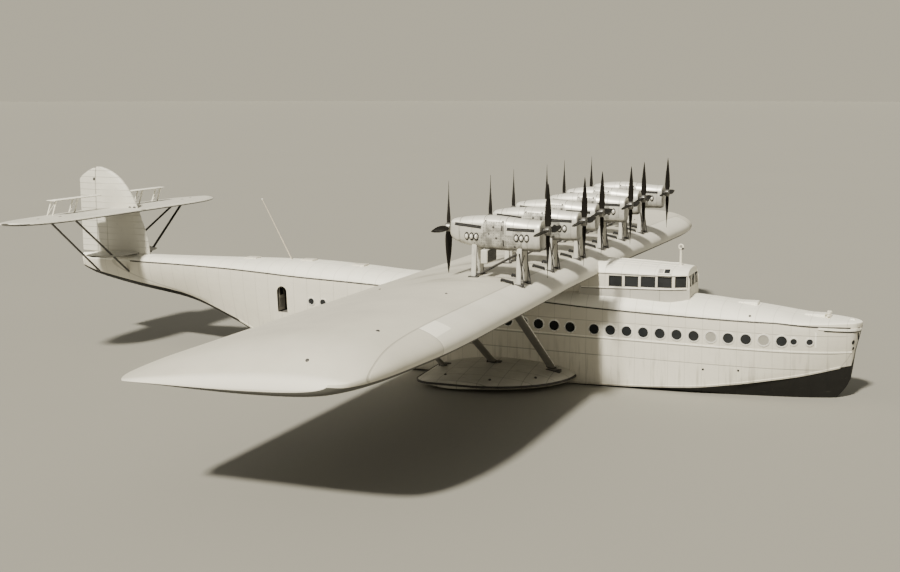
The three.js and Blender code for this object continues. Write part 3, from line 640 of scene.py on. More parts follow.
def plating(name, tone, roughness):
    """Light paint over riveted strakes, with frames, runs of dirt and a dull shine."""
    s = bpy.context.scene.boat_hull
    f = Finish(name, roughness)
    x, y, z = f.axes()
    broad = f.noise(0.22, 4)
    cloud = f.noise(1.4, 5)
    runs = f.noise(1.0, 4, (5.0, 1.0, 0.5))
    side = abs(y).above(0.55, 1.0)
    frames = x.lines(0.74, 0.018, 0.12)
    level = z - x * -0.012
    # The line at level 2.21 is a painted shadow under the raised rail.
    strakes = level.line(2.21, 0.034).either(level.line(1.47, 0.024)).either(level.line(3.00, 0.014))
    strakes = strakes * x.above(-9.2, -8.8)
    deck = y.lines(0.46, 0.02)
    seams = (frames * 0.35).either(strakes * side * 0.95).either(deck * (1 - side) * 0.5)
    rivets = x.lines(0.09, 0.014) * (x.lines(0.74, 0.05, 0.12)).either(z.lines(0.38, 0.03) * side)
    spread = (broad - 0.5) * 0.9 + (cloud - 0.5) * 0.55 + 0.5
    colour = f.mix(shade(tone, 0.86), shade(tone, 1.08), spread.clamp())
    colour = f.mix(colour, s.dirt, (runs.above(0.50, 0.72) * z.below(0.6, 2.7) * 0.62).clamp())
    colour = f.mix(colour, s.dirt, (z.below(0.05, 0.45) * cloud.above(0.3, 0.7) * 0.7).clamp())
    colour = f.mix(colour, s.seam, (seams * 0.66).clamp())
    f.bump(seams * -0.6 + rivets * 0.35 + f.noise(0.9, 2) * 0.9, 0.006)
    return f.done(colour, roughness - 0.06 + cloud * 0.22)


@kept
def hull_paint():
    """The light paint on the sides and the fittings."""
    return plating("hull_paint", bpy.context.scene.boat_hull.paint, 0.42)


@kept
def lit_crown_paint():
    """Painted highlight: a brighter copy of the hull paint on the crowned deck, the bridge roof and the
    raised straps and fittings, standing in for the light that falls on their tops.
    """
    return plating("lit_crown_paint", bpy.context.scene.boat_hull.crown, 0.50)


@kept
def hull_bottom():
    """Near-black bottom paint, scuffed and chalky where it dries."""
    s = bpy.context.scene.boat_hull
    f = Finish("hull_bottom", 0.5)
    x, _, _ = f.axes()
    cloud = f.noise(1.6, 6)
    scuff = f.noise(2.2, 5, (0.6, 1.0, 3.0))
    colour = f.mix(shade(s.bottom, 0.7), shade(s.bottom, 1.5), cloud)
    colour = f.mix(colour, shade(s.dirt, 0.5), scuff.above(0.62, 0.80) * 0.30)
    f.feed("Specular IOR Level", 0.25)
    f.bump(cloud + x.lines(0.74, 0.03, 0.12) * -0.5, 0.006)
    return f.done(colour, 0.35 + cloud * 0.35)


@kept
def belt_paint():
    """The duller belt under the bridge windows."""
    s = bpy.context.scene.boat_hull
    f = Finish("belt_paint", 0.5)
    x, _, _ = f.axes()
    cloud = f.noise(1.2, 4)
    seams = x.lines(1.31, 0.016, 0.30)
    colour = f.mix(shade(s.belt, 0.88), shade(s.belt, 1.12), cloud)
    colour = f.mix(colour, s.seam, seams * 0.5)
    f.bump(cloud * 0.6 - seams, 0.005)
    return f.done(colour, 0.4 + cloud * 0.2)


@kept
def wing_skin():
    """Doped covering with a smooth sheet nose, a bright rim at the tips, and dirt round the engines."""
    s = bpy.context.scene.boat_wing
    f = Finish("wing_skin", 0.5)
    x, y, _ = f.axes()
    out = abs(y)
    broad = f.noise(0.13, 4, (1.0, 0.5, 1.0))
    patch = f.noise(0.42, 5, (0.5, 1.1, 1.0))
    cloud = f.noise(1.3, 5)
    sheet = x.above(1.76, 1.80) * out.below(19.53, 19.57)
    rim = out.above(23.74, 23.92)
    joint = x.line(1.78, 0.035) * out.below(23.3, 23.6)
    joint = joint.either(out.line(19.55, 0.035) * x.above(1.74, 1.80))
    tone = (broad - 0.5) * 1.5 + (patch - 0.5) * 0.6 + (cloud - 0.5) * 0.35 + 0.5
    colour = f.mix(shade(s.skin, 0.80), shade(s.skin, 1.10), tone.clamp())
    colour = f.mix(colour, s.sheet, (sheet * 0.6 + rim * 0.7).clamp())
    renewed = sheet * x.below(2.36, 2.40) * y.below(-18.22, -18.18)
    colour = f.mix(colour, shade(s.sheet, 1.16), renewed)
    worked = out.below(10.6, 12.0) * x.within(-3.0, 1.7, 0.5)
    stain = f.noise(0.62, 6, (0.5, 1.2, 1.0)).above(0.46, 0.74)
    colour = f.mix(colour, s.stain, (stain * (worked * 0.55 + 0.10) + worked * 0.08).clamp())
    colour = f.mix(colour, s.stain, joint * 0.45)
    f.bump(joint * -0.8 + cloud * 0.4 + patch * 0.5, 0.006)
    return f.done(colour, 0.46 + cloud * 0.16 - sheet * 0.06)


def painted_shade_below(name, tone):
    """Painted shade: a dark paint on the faces that look down, standing in for the shade under the planes."""
    f = Finish(name, 0.6)
    cloud = f.noise(0.5, 5)
    f.bump(cloud, 0.003)
    return f.done(f.mix(shade(tone, 0.8), shade(tone, 1.2), cloud), 0.55 + cloud * 0.15)


@kept
def wing_under_shade():
    """Painted shade on the wing's underside."""
    return painted_shade_below("wing_under_shade", bpy.context.scene.boat_wing.under)


@kept
def tail_under_shade():
    """Painted shade on the undersides of the tail planes."""
    return painted_shade_below("tail_under_shade", bpy.context.scene.boat_tail.under)


@kept
def tail_skin():
    """Light covering over fine ribs."""
    s = bpy.context.scene.boat_tail
    f = Finish("tail_skin", 0.5)
    x, y, z = f.axes()
    cloud = f.noise(0.6, 5)
    fine = f.noise(4.0, 4)
    ribs = y.lines(0.38, 0.028, 0.19)
    upright = abs(y).below(0.14, 0.22)
    level = z.lines(0.33, 0.03) * upright
    ribs = ribs * (1 - upright)
    posts = (x.line(-24.26, 0.03) * z.below(6.75, 6.80)).either(x.line(-24.93, 0.045)) * upright
    edge = (x.above(-22.26, -22.16) * (1 - upright)).either(abs(y).above(8.3, 8.4))
    colour = f.mix(shade(s.skin, 0.86), shade(s.skin, 1.10), cloud)
    colour = f.mix(colour, shade(s.skin, 1.22), edge * 0.8)
    colour = f.mix(colour, s.stain, (ribs * 0.20 + level * 0.30 + fine.above(0.58, 0.8) * 0.18).clamp())
    colour = f.mix(colour, s.stain, (posts * 0.75).clamp())
    f.bump(ribs + level - posts + fine * 0.3, 0.005)
    return f.done(colour, 0.42 + fine * 0.2)


@kept
def sponson_skin():
    """Dark, foot-worn sheet with plate joints, scuffs and a wet band at the water."""
    s = bpy.context.scene.boat_sponson
    f = Finish("sponson_skin", 0.5)
    x, y, z = f.axes()
    cloud = f.noise(0.8, 6)
    scuff = f.noise(3.2, 5, (0.7, 1.3, 1.0))
    joints = x.lines(0.92, 0.022, 0.2).either(y.lines(0.85, 0.02, 0.1))
    colour = f.mix(shade(s.skin, 0.66), shade(s.skin, 1.35), cloud)
    colour = f.mix(colour, s.scuff, scuff.above(0.55, 0.78) * z.above(0.25, 0.6) * 0.55)
    colour = f.mix(colour, shade(s.skin, 0.35), (joints * 0.6).clamp())
    colour = f.mix(colour, shade(s.skin, 0.30), z.below(0.02, 0.22) * 0.8)
    f.bump(cloud * 0.5 - joints + x.lines(0.08, 0.02) * joints * 0.5, 0.005)
    return f.done(colour, 0.34 + scuff * 0.3)


@kept
def cowl_metal():
    """Smooth bright sheet on the engine cowls, brushed along and slightly oily below, with a painted
    highlight along the top and a painted shade band along the bottom.
    """
    s = bpy.context.scene.boat_engines
    f = Finish("cowl_metal", 0.35)
    x, _, z = f.axes()
    brushed = f.noise(5.0, 4, (0.4, 2.0, 6.0))
    cloud = f.noise(2.2, 5)
    joints = x.lines(0.56, 0.014, 0.1)
    colour = f.mix(shade(s.cowl, 0.58), shade(s.cowl, 0.78), (brushed * 0.5 + cloud * 0.5))
    # Painted highlight: a brighter copy of the sheet along the pod's top.
    colour = f.mix(colour, shade(s.cowl, 1.2), z.above(8.00, 8.10))
    oil = cloud.above(0.44, 0.66) * z.below(7.1, 7.8)
    # The band along the pod's bottom, mixed in the oil colour, is painted shade.
    colour = f.mix(colour, s.oil, (oil * 0.45 + joints * 0.30 + z.below(7.07, 7.19) * 0.9).clamp())
    f.bump(cloud * 0.5 - joints, 0.003)
    return f.done(colour, 0.26 + cloud * 0.22, 0.25 + z.above(7.9, 8.2) * 0.2)


@kept
def cowl_plate():
    """The mottled, riveted plates over the middle of each pod."""
    s = bpy.context.scene.boat_engines
    f = Finish("cowl_plate", 0.45)
    x, _, z = f.axes()
    mottle = f.noise(4.2, 6)
    rivets = x.lines(0.10, 0.022) * z.lines(0.10, 0.022)
    colour = f.mix(shade(s.plate, 0.55), shade(s.plate, 1.30), mottle.above(0.34, 0.66))
    # The band along the pod's bottom, mixed in the oil colour, is painted shade.
    colour = f.mix(colour, s.oil, (rivets * 0.6 + z.below(7.07, 7.19) * 0.9).clamp())
    f.bump(rivets + mottle * 0.4, 0.004)
    return f.done(colour, 0.38 + mottle * 0.2, 0.3)


@kept
def mount_paint():
    """Light grey paint on the engine mounts, rubbed and oil-spotted."""
    s = bpy.context.scene.boat_engines
    f = Finish("mount_paint", 0.45)
    cloud = f.noise(3.0, 5)
    runs = f.noise(2.0, 4, (4.0, 4.0, 0.5))
    colour = f.mix(shade(s.mount, 0.82), shade(s.mount, 1.12), cloud)
    colour = f.mix(colour, s.oil, runs.above(0.58, 0.8) * 0.5)
    f.bump(cloud, 0.002)
    return f.done(colour, 0.38 + cloud * 0.2)


@kept
def radiator_core():
    """Dark honeycomb of radiator tubes."""
    f = Finish("radiator_core", 0.55, 0.3)
    _, y, z = f.axes()
    grid = y.lines(0.045, 0.012).either(z.lines(0.045, 0.012))
    cloud = f.noise(4.0, 4)
    colour = f.mix((0.010, 0.010, 0.010), (0.085, 0.08, 0.075), (grid * 0.8 + cloud * 0.2).clamp())
    f.bump(grid + cloud * 0.3, 0.004)
    return f.done(colour, 0.45 + cloud * 0.2)


@kept
def propeller_wood():
    """Dark varnished laminations, worn towards the edges."""
    s = bpy.context.scene.boat_engines
    f = Finish("propeller_wood", 0.4, Coat_Weight=0.05)
    x, _, _ = f.axes()
    grain = f.noise(3.0, 6, (9.0, 1.0, 1.0))
    layers = x.lines(0.035, 0.01)
    f.feed("Specular IOR Level", 0.15)
    colour = f.mix(shade(s.blade, 0.6), shade(s.blade, 1.6), grain)
    colour = f.mix(colour, shade(s.blade, 0.45), layers * 0.4)
    f.bump(grain, 0.001)
    return f.done(colour, 0.42 + grain * 0.25)


@kept
def blade_sheath():
    """Dull metal sheathing on the propellers' hubs and tips."""
    f = Finish("blade_sheath", 0.35, 0.8)
    cloud = f.noise(8.0, 5)
    colour = f.mix((0.13, 0.125, 0.115), (0.34, 0.33, 0.31), cloud)
    f.bump(cloud, 0.001)
    return f.done(colour, 0.28 + cloud * 0.25)


@kept
def strut_metal():
    """Grey paint on the wing struts, with darker runs."""
    s = bpy.context.scene.boat_sponson
    f = Finish("strut_metal", 0.4)
    cloud = f.noise(1.5, 5)
    runs = f.noise(2.5, 4, (3.0, 3.0, 0.6))
    colour = f.mix(shade(s.strut, 0.75), shade(s.strut, 1.25), cloud)
    colour = f.mix(colour, shade(s.strut, 0.5), runs.above(0.56, 0.8) * 0.5)
    f.bump(cloud, 0.002)
    return f.done(colour, 0.34 + cloud * 0.25)


@kept
def deep_black():
    """The unlit depth of slots and recesses."""
    f = Finish("deep_black", 0.8)
    cloud = f.noise(5.0, 3)
    f.bump(cloud, 0.001)
    return f.done(f.mix((0.004, 0.004, 0.004), (0.012, 0.011, 0.010), cloud), 0.7 + cloud * 0.2)


@kept
def dark_fitting():
    """Dark painted steel with worn spots."""
    f = Finish("dark_fitting", 0.45, 0.3)
    cloud = f.noise(6.0, 5)
    colour = f.mix((0.022, 0.021, 0.020), (0.085, 0.08, 0.075), cloud)
    colour = f.mix(colour, (0.16, 0.15, 0.14), cloud.above(0.62, 0.8) * 0.6)
    f.bump(cloud, 0.002)
    return f.done(colour, 0.35 + cloud * 0.3)


@kept
def bright_fitting():
    """Light metal for rims and bulges."""
    f = Finish("bright_fitting", 0.28, 0.30)
    cloud = f.noise(5.0, 4)
    colour = f.mix((0.72, 0.70, 0.64), (0.92, 0.90, 0.84), cloud)
    f.bump(cloud, 0.001)
    return f.done(colour, 0.18 + cloud * 0.2)


@kept
def window_glass():
    """Dark panes that mirror the sky a little."""
    f = Finish("window_glass", 0.08)
    f.feed("Specular IOR Level", 0.35)
    cloud = f.noise(1.3, 3)
    colour = f.mix((0.006, 0.007, 0.008), (0.028, 0.030, 0.032), cloud)
    f.bump(f.noise(2.0, 2), 0.0015)
    return f.done(colour, 0.05 + cloud * 0.12)


@kept
def pane_blind():
    """A drawn blind behind a porthole."""
    f = Finish("pane_blind", 0.4)
    cloud = f.noise(6.0, 4)
    f.bump(cloud, 0.001)
    return f.done(f.mix((0.24, 0.23, 0.20), (0.38, 0.365, 0.32), cloud), 0.3 + cloud * 0.2)


@kept
def cabin_inside():
    """Shaded paint inside the lobby and the bridge."""
    f = Finish("cabin_inside", 0.6)
    cloud = f.noise(2.0, 4)
    colour = f.mix((0.10, 0.095, 0.085), (0.19, 0.18, 0.165), cloud)
    f.bump(cloud, 0.002)
    return f.done(colour, 0.5 + cloud * 0.2)


@kept
def staff_wood():
    """Pale varnished wood."""
    f = Finish("staff_wood", 0.4)
    grain = f.noise(4.0, 6, (6.0, 6.0, 0.6))
    colour = f.mix((0.42, 0.37, 0.29), (0.62, 0.56, 0.46), grain)
    f.bump(grain, 0.001)
    return f.done(colour, 0.35 + grain * 0.2)


# The hull

def hull_ring(x, grow=0.0):
    """One section of the hull: keel, bottom, chine, side, gunwale and crowned deck."""
    keel, chine_y, chine_z, gun_y, gun_z, top = glide(HULL, x)
    half = []
    for t in (0.25, 0.5, 0.75):
        half.append((chine_y * t, keel + (chine_z - keel) * t ** 1.12))
    half.append((chine_y + grow, chine_z - grow))
    for t in steps(0, 1, 8)[1:]:
        across = chine_y + (gun_y - chine_y) * math.sin(t * math.pi / 2) + grow
        half.append((across, chine_z + (gun_z - chine_z) * t))
    for t in steps(0, 1, 11)[1:-1]:
        turn = t * math.pi / 2
        half.append(((gun_y + grow) * math.cos(turn) ** 0.8, gun_z + (top + grow - gun_z) * math.sin(turn)))
    port = [Vector((x, y, z)) for y, z in half]
    starboard = [Vector((x, -y, z)) for y, z in reversed(half)]
    return [Vector((x, 0, keel - grow)), *port, Vector((x, 0, top + grow)), *starboard]


def hull_places():
    """Places of the hull's sections, close together at the stem."""
    near = [13.99, 13.96, 13.90, 13.83, 13.76, 13.69, 13.62, 13.46, 13.30, 13.10, 12.90, 12.70, 12.40, 12.05]
    near.append(11.65)
    middle = steps(11.65, -2.00, 34)[1:]
    rear = steps(-2.03, -25.20, 62)
    return near + middle + rear + [-25.55, -25.90]


def hull_shape():
    """The hull's closed skin, with the bottom's faces numbered 1 and the crown's 3."""
    shape = loft([hull_ring(x) for x in hull_places()])
    for face in shape.faces:
        at = face.calc_center_median()
        row = glide(HULL, at.x)
        face.material_index = 1 if at.z < row[2] - 0.005 else 3 if at.z > row[4] else 0
    return shape


HULL_SKIN = Skin(hull_shape())


def doorway_tool():
    """The rear doorway with its rounded head, and the lobby behind it."""
    low, high = LOBBY
    half = (DOOR["fore"] - DOOR["aft"]) / 2
    middle = (DOOR["fore"] + DOOR["aft"]) / 2
    outline = [(DOOR["aft"], DOOR["sill"]), (DOOR["fore"], DOOR["sill"])]
    for t in steps(0, math.pi, 12):
        outline.append((middle + half * math.cos(t), DOOR["top"] - half + half * math.sin(t)))
    opening = loft([[Vector((x, y, z)) for x, z in outline] for y in (-3.0, -1.0)])
    room = slab(low, high, 0)
    for shape in (opening, room):
        for face in shape.faces:
            face.material_index = 2
    return carve(opening, room, "UNION")


def porthole(x, z, sign, radius):
    """A round window: a bright rim over dark glass, set square on the hull's side."""
    place, normal = HULL_SKIN.side(x, z, sign)
    at = axes_at(place, normal)
    wide = radius + 0.07
    rim = turned(((radius, -0.02), (wide, -0.02), (wide - 0.012, 0.028), (radius + 0.008, 0.032)), at)
    pane = turned(((0, -0.03), (radius + 0.01, -0.03), (radius + 0.01, 0.004), (0, 0.007)), at)
    return rim, pane


def strake(heights, sign, width, height):
    """A strap along the hull's side through places given by X and Z."""
    seats = [HULL_SKIN.side(x, z, sign) for x, z in heights]
    return strip([p for p, _ in seats], [n for _, n in seats], width, height)


def dress_hull():
    """The hull with its portholes, straps, bow lip, deck fittings and hatches."""
    s = bpy.context.scene.boat_hull
    piece = Piece("hull_skin")
    shell = carve(hull_shape(), doorway_tool())
    piece.take(shell, hull_paint(), hull_bottom(), cabin_inside(), lit_crown_paint())
    piece.take(slab(*SADDLE, 0), hull_paint())
    radius = s.porthole / 2
    for _, sign in SIDES:
        spots = [(10.85 - s.pitch * (k if k < 12 else k + 0.5), radius) for k in range(28)]
        spots += [(11.34, 0.13), (11.98, 0.13), (-10.83, 0.15), (-11.48, 0.15)]
        for k, (x, size) in enumerate(spots):
            z = 2.60 - min(0, x - 2) * (0.032 if x > -10 else 0.027)
            rim, pane = porthole(x, z, sign, size)
            blind = sign < 0 and k in (1, 4)
            piece.take(rim, bright_fitting()).take(pane, pane_blind() if blind else window_glass())
        joint = []
        for x in steps(13.88, -22.6, 100):
            sink = 0.23 * min(max((x - 10.6) / 3.2, 0.0), 1.0) - 0.03
            joint.append((x, glide(HULL, x)[4] - sink))
        piece.take(strake(joint, sign, 0.062, 0.018), dark_fitting())
        # The rail is a light strap with a painted shadow line under it in the hull paint.
        rail = [(x, 2.285 - 0.012 * x) for x in steps(13.62, -9.0, 64)]
        piece.take(strake(rail, sign, 0.065, 0.020), lit_crown_paint())
        lip = [(x, 3.09 + 0.11 * (13.9 - x) / 1.7) for x in steps(13.93, 12.3, 14)]
        piece.take(strake(lip, sign, 0.11, 0.035), lit_crown_paint())
        # The black strap under the lip is a painted shadow of the lip.
        piece.take(strake([(x, z - 0.08) for x, z in lip[:-2]], sign, 0.060, 0.022), deep_black())
        piece.take(strake([(12.22, z) for z in steps(2.36, 3.02, 5)], sign, 0.07, 0.015), lit_crown_paint())
        piece.take(strake([(13.84, z) for z in steps(2.95, 2.62, 4)], sign, 0.06, 0.030), deep_black())
        for x, z, size in ((13.68, 2.56, 0.10), (13.68, 2.28, 0.075), (7.58, 1.14, 0.05), (9.08, 1.19, 0.05)):
            place, normal = HULL_SKIN.side(x, z, sign)
            piece.take(dome(axes_at(place, normal), size, 0.022, 14), deep_black())
        place, normal = HULL_SKIN.deck(9.49, sign * 1.55)
        piece.take(dome(axes_at(place, normal), 0.06, 0.015, 14), deep_black())
        chine = []
        for x in steps(13.2, -16.0, 80):
            _, chine_y, chine_z, _, _, _ = glide(HULL, x)
            chine.append(Vector((x, sign * chine_y, chine_z)))
        outward = [(0, sign, -0.5)] * len(chine)
        piece.take(strip(chine, outward, 0.09, 0.025), hull_paint())
    for x in (12.05, 9.2):
        place, normal = HULL_SKIN.deck(x, 0)
        low = place + Vector((-0.42, -0.36, -0.10))
        piece.take(slab(low, place + Vector((0.42, 0.36, 0.075)), 0.03, 3), lit_crown_paint())
    place, _ = HULL_SKIN.deck(13.58, 0)
    low = place + Vector((-0.10, -0.12, -0.05))
    piece.take(slab(low, place + Vector((0.10, 0.12, 0.055)), 0.03, 3), lit_crown_paint())
    for x in (-9.6, -12.4, -15.6):
        place, normal = HULL_SKIN.deck(x, 0)
        low = place + Vector((-0.34, -0.30, -0.08))
        piece.take(slab(low, place + Vector((0.34, 0.30, 0.06)), 0.03, 3), hull_paint())
    piece.finish("airframe", "hull_skin", "hull")


# The bridge

def bridge_ring(x, inset=0.0):
    """One section of the bridge house, from the foot of one wall over the roof to the other."""
    nose = max(0.0, x - (BRIDGE["fore"] - 1.0))
    half = BRIDGE["half"] * (1 - 0.28 * nose ** 2) - inset
    along = (x - BRIDGE["aft"]) / (BRIDGE["fore"] - BRIDGE["aft"])
    ridge = BRIDGE["ridge_aft"] + (BRIDGE["ridge_fore"] - BRIDGE["ridge_aft"]) * along ** 2 - inset
    eave = BRIDGE["eave"] - inset
    half_ring = [(half, z) for z in steps(BRIDGE["base"] - (1 if inset else 0), eave, 6)]
    for k in range(1, 10):
        t = math.radians(9 * k)
        half_ring.append((half * math.cos(t) ** 0.7, eave + (ridge - eave) * math.sin(t)))
    port = [Vector((x, y, z)) for y, z in half_ring]
    starboard = [Vector((x, -y, z)) for y, z in reversed(half_ring)]
    return [*port, Vector((x, 0, ridge)), *starboard]


def bridge_shape(inset=0.0):
    """The bridge house as a closed block, or its room when inset is given."""
    fore = BRIDGE["fore"] - inset
    aft = BRIDGE["aft"] + (1.05 if inset else 0.0)
    places = steps(aft, fore - 1.0, 6) + [fore - d for d in (0.8, 0.6, 0.45, 0.3, 0.18, 0.08)]
    rings = [bridge_ring(x, inset) for x in places]
    brow = bridge_ring(fore, inset)
    for p in brow:
        p.x = fore + (-0.02 if p.z > BRIDGE["eave"] - 0.05 else 0.06)
    return loft(rings + [brow])


def pane_lift(x):
    """How far the row of windows has risen at a place along it."""
    first = SIDE_PANES[0][0]
    return PANE["rise"] * (x - first) / (BRIDGE["fore"] - first)


def dress_bridge():
    """The bridge house with cut windows, frames, roof battens, skylight and belt."""
    room = bridge_shape(0.07)
    for face in room.faces:
        face.material_index = 2
    house = carve(bridge_shape(), room)
    cutters = []
    for low, high in SIDE_PANES:
        lift = pane_lift((low + high) / 2)
        cutters.append(slab((low, -2, PANE["low"] + lift), (high, 2, PANE["high"] + lift), 0))
    house = carve(house, joined(cutters))
    cutters = []
    for y in FRONT_PANES:
        low = Vector((BRIDGE["fore"] - 0.35, y - PANE["front_half"], PANE["low"] + PANE["rise"]))
        high = Vector((BRIDGE["fore"] + 0.3, y + PANE["front_half"], PANE["high"] + PANE["rise"]))
        cutters.append(slab(low, high, 0))
    house = carve(house, joined(cutters))
    for face in house.faces:
        at = face.calc_center_median()
        if face.material_index == 0 and at.z < 4.42 and abs(face.normal.z) < 0.3:
            face.material_index = 1
        elif face.material_index == 0 and at.z > BRIDGE["eave"]:
            face.material_index = 3
    piece = Piece("bridge_house")
    piece.take(house, hull_paint(), belt_paint(), cabin_inside(), lit_crown_paint())
    skin = Skin(bridge_shape())
    for _, sign in SIDES:
        # Each light strap is a painted highlight, and the dark strap just under it is a painted shadow.
        for z, width, height, rises, paint in (
                (4.455, 0.055, 0.020, 1, lit_crown_paint), (4.40, 0.030, 0.008, 1, dark_fitting),
                (5.115, 0.050, 0.022, 0, lit_crown_paint), (5.072, 0.026, 0.010, 0, dark_fitting)):
            seats = [skin.side(x, z + pane_lift(x) * rises, sign) for x in steps(2.0, 6.66, 40)]
            piece.take(strip([p for p, _ in seats], [n for _, n in seats], width, height), paint())
        for low, high in SIDE_PANES:
            for x in (low - 0.012, high + 0.012):
                place, _ = skin.side(min(x, 6.66), 4.73 + pane_lift((low + high) / 2), sign)
                reach = Vector((0.02, 0.018, 0.25))
                piece.take(slab(place - reach, place + reach, 0.006), hull_paint())
        for y in (0.34, 0.70, 1.04):
            seats = [skin.deck(x, sign * y) for x in steps(2.3, 6.3, 24)]
            piece.take(strip([p for p, _ in seats], [n for _, n in seats], 0.03, 0.012), lit_crown_paint())
        place, normal = skin.side(5.70, 5.27, sign)
        at = axes_at(place, normal)
        for x0, x1, half, lift, paint in (
                (-0.30, 0.30, 0.19, 0.020, lit_crown_paint), (-0.25, -0.03, 0.14, 0.028, belt_paint),
                (0.01, 0.25, 0.14, 0.028, window_glass)):
            light = slab((x0, -half, -0.05), (x1, half, lift), 0.006)
            bmesh.ops.transform(light, matrix=at, verts=light.verts)
            piece.take(light, paint())
    piece.finish("airframe", "hull_skin", "bridge_cabin", sharp=28)
    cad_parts["bridge_glazing"].data.materials.clear()
    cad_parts["bridge_glazing"].data.materials.append(window_glass())


# The wing

def arch_at(camber, t):
    """Height of the aerofoil's middle line."""
    crest = 0.4
    if t < crest:
        return camber / crest ** 2 * (2 * crest * t - t * t)
    return camber / (1 - crest) ** 2 * (1 - 2 * crest + 2 * crest * t - t * t)


def half_at(thick, t):
    """Half depth of the aerofoil."""
    shape = 0.2969 * math.sqrt(t) - 0.126 * t - 0.3516 * t ** 2 + 0.2843 * t ** 3 - 0.1015 * t ** 4
    return 5 * thick * shape + 0.0012


def section(thick, camber, count):
    """An aerofoil's points from the nose over the top to the tail and back below."""
    along = [(1 - math.cos(math.pi * (k + 1) / (count + 1))) / 2 for k in range(count)]
    upper = [(t, arch_at(camber, t) + half_at(thick, t)) for t in along]
    lower = [(t, arch_at(camber, t) - half_at(thick, t)) for t in reversed(along)]
    return [(0.0, 0.0), *upper, (1.0, half_at(thick, 1)), (1.0, -half_at(thick, 1)), *lower]


def chord_z(x, y):
    """Height of the wing's chord line, which the twist lowers at the nose and the droop at the tip."""
    aft = (WING["lead"] - x) / CHORD
    out = max(0.0, abs(y) - TWIST["from"]) / (WING["half"] - TWIST["from"])
    end = max(0.0, abs(y) - (WING["half"] - WING_TIP["droop_run"])) / WING_TIP["droop_run"]
    level = WING["nose_z"] + (WING["tail_z"] - WING["nose_z"]) * aft
    return level - TWIST["nose"] * out ** TWIST["round"] * (1 - aft) - WING_TIP["droop"] * end ** 2


def wing_edges(y):
    """Leading and trailing edge at a place along the span."""
    u = max(0.0, (abs(y) - (WING["half"] - WING_TIP["lead_run"])) / WING_TIP["lead_run"])
    v = max(0.0, (abs(y) - (WING["half"] - WING_TIP["trail_run"])) / WING_TIP["trail_run"])
    bow = WING_TIP["lead_round"]
    lead = WING["lead"] - WING_TIP["lead_cut"] * (1 - max(0.0, 1 - u ** bow) ** (1 / bow))
    trail = WING["trail"] + WING_TIP["trail_cut"] * (1 - math.sqrt(max(0.0, 1 - v * v)))
    return lead, trail


def wing_ring(y):
    """One section of the wing, thinner towards the tip and rounded off at its end."""
    lead, trail = wing_edges(y)
    run = lead - trail
    out = max(0.0, abs(y) - (WING["half"] - WING_TIP["thin_run"])) / WING_TIP["thin_run"]
    full = 1 - (1 - WING_TIP["thin_to"]) * out ** WING_TIP["thin_round"]
    end = max(0.0, abs(y) - (WING["half"] - WING_TIP["end"])) / WING_TIP["end"]
    swell = math.sqrt(max(0.02, 1 - end * end))
    ring = []
    for t, h in section(WING["thick"], WING["camber"], 40):
        x = lead - run * t
        arch = arch_at(WING["camber"], t)
        sunk = (1 - full) * WING_TIP["sink"] * half_at(WING["thick"], t) * CHORD
        ring.append(Vector((x, y, chord_z(x, y) + CHORD * full * (arch + (h - arch) * swell) - sunk)))
    return ring


def wing_shape():
    """The whole wing as one closed skin."""
    places = steps(0, 6, 6) + steps(6, 12, 8)[1:] + steps(12, 18, 10)[1:] + steps(18, 22.5, 18)[1:]
    places += [22.8, 23.1, 23.35, 23.55, 23.70, 23.80, 23.88, 23.94, 23.98, 24.0]
    return loft([wing_ring(y) for y in mirrored(places)])


WING_SKIN = Skin(wing_shape())


def flap_tool(axis, x, centre, low, high, radius, aft=60.0):
    """A hinged surface's room: a round nose on its axis and everything aft of it."""
    outline = [Vector((x - aft, centre - 20)), Vector((x, centre - 20)), Vector((x, centre - radius))]
    for t in steps(-math.pi / 2, math.pi / 2, 20)[1:-1]:
        outline.append(Vector((x + radius * math.cos(t), centre + radius * math.sin(t))))
    outline += [Vector((x, centre + radius)), Vector((x, centre + 20)), Vector((x - aft, centre + 20))]
    rings = []
    for v in (low, high):
        rings.append([Vector((p.x, v, p.y)) if axis == "y" else Vector((p.x, p.y, v)) for p in outline])
    return loft(rings)


def aileron_room(sign, clear, ends):
    """The room that an aileron turns in, or with no clearance the aileron's own outline."""
    t = (WING["lead"] - AILERON["hinge"]) / CHORD
    middle = chord_z(AILERON["hinge"], 0) + CHORD * arch_at(WING["camber"], t)
    radius = CHORD * half_at(WING["thick"], t) * AILERON["nose"] + clear
    low, high = sorted((sign * AILERON["inner"], sign * AILERON["outer"]))
    return flap_tool("y", AILERON["hinge"], middle, low + ends, high - ends, radius), middle


def count_below_nose(shape):
    """Numbers 1 the faces of the wing's underside, which starts a share of the chord behind the nose."""
    shape.normal_update()
    for face in shape.faces:
        shares = []
        for vert in face.verts:
            lead, trail = wing_edges(vert.co.y)
            shares.append((lead - vert.co.x) / (lead - trail))
        if face.normal.z < -0.1 and sum(shares) / len(shares) > WING_TIP["under_from"]:
            face.material_index = 1
    return shape


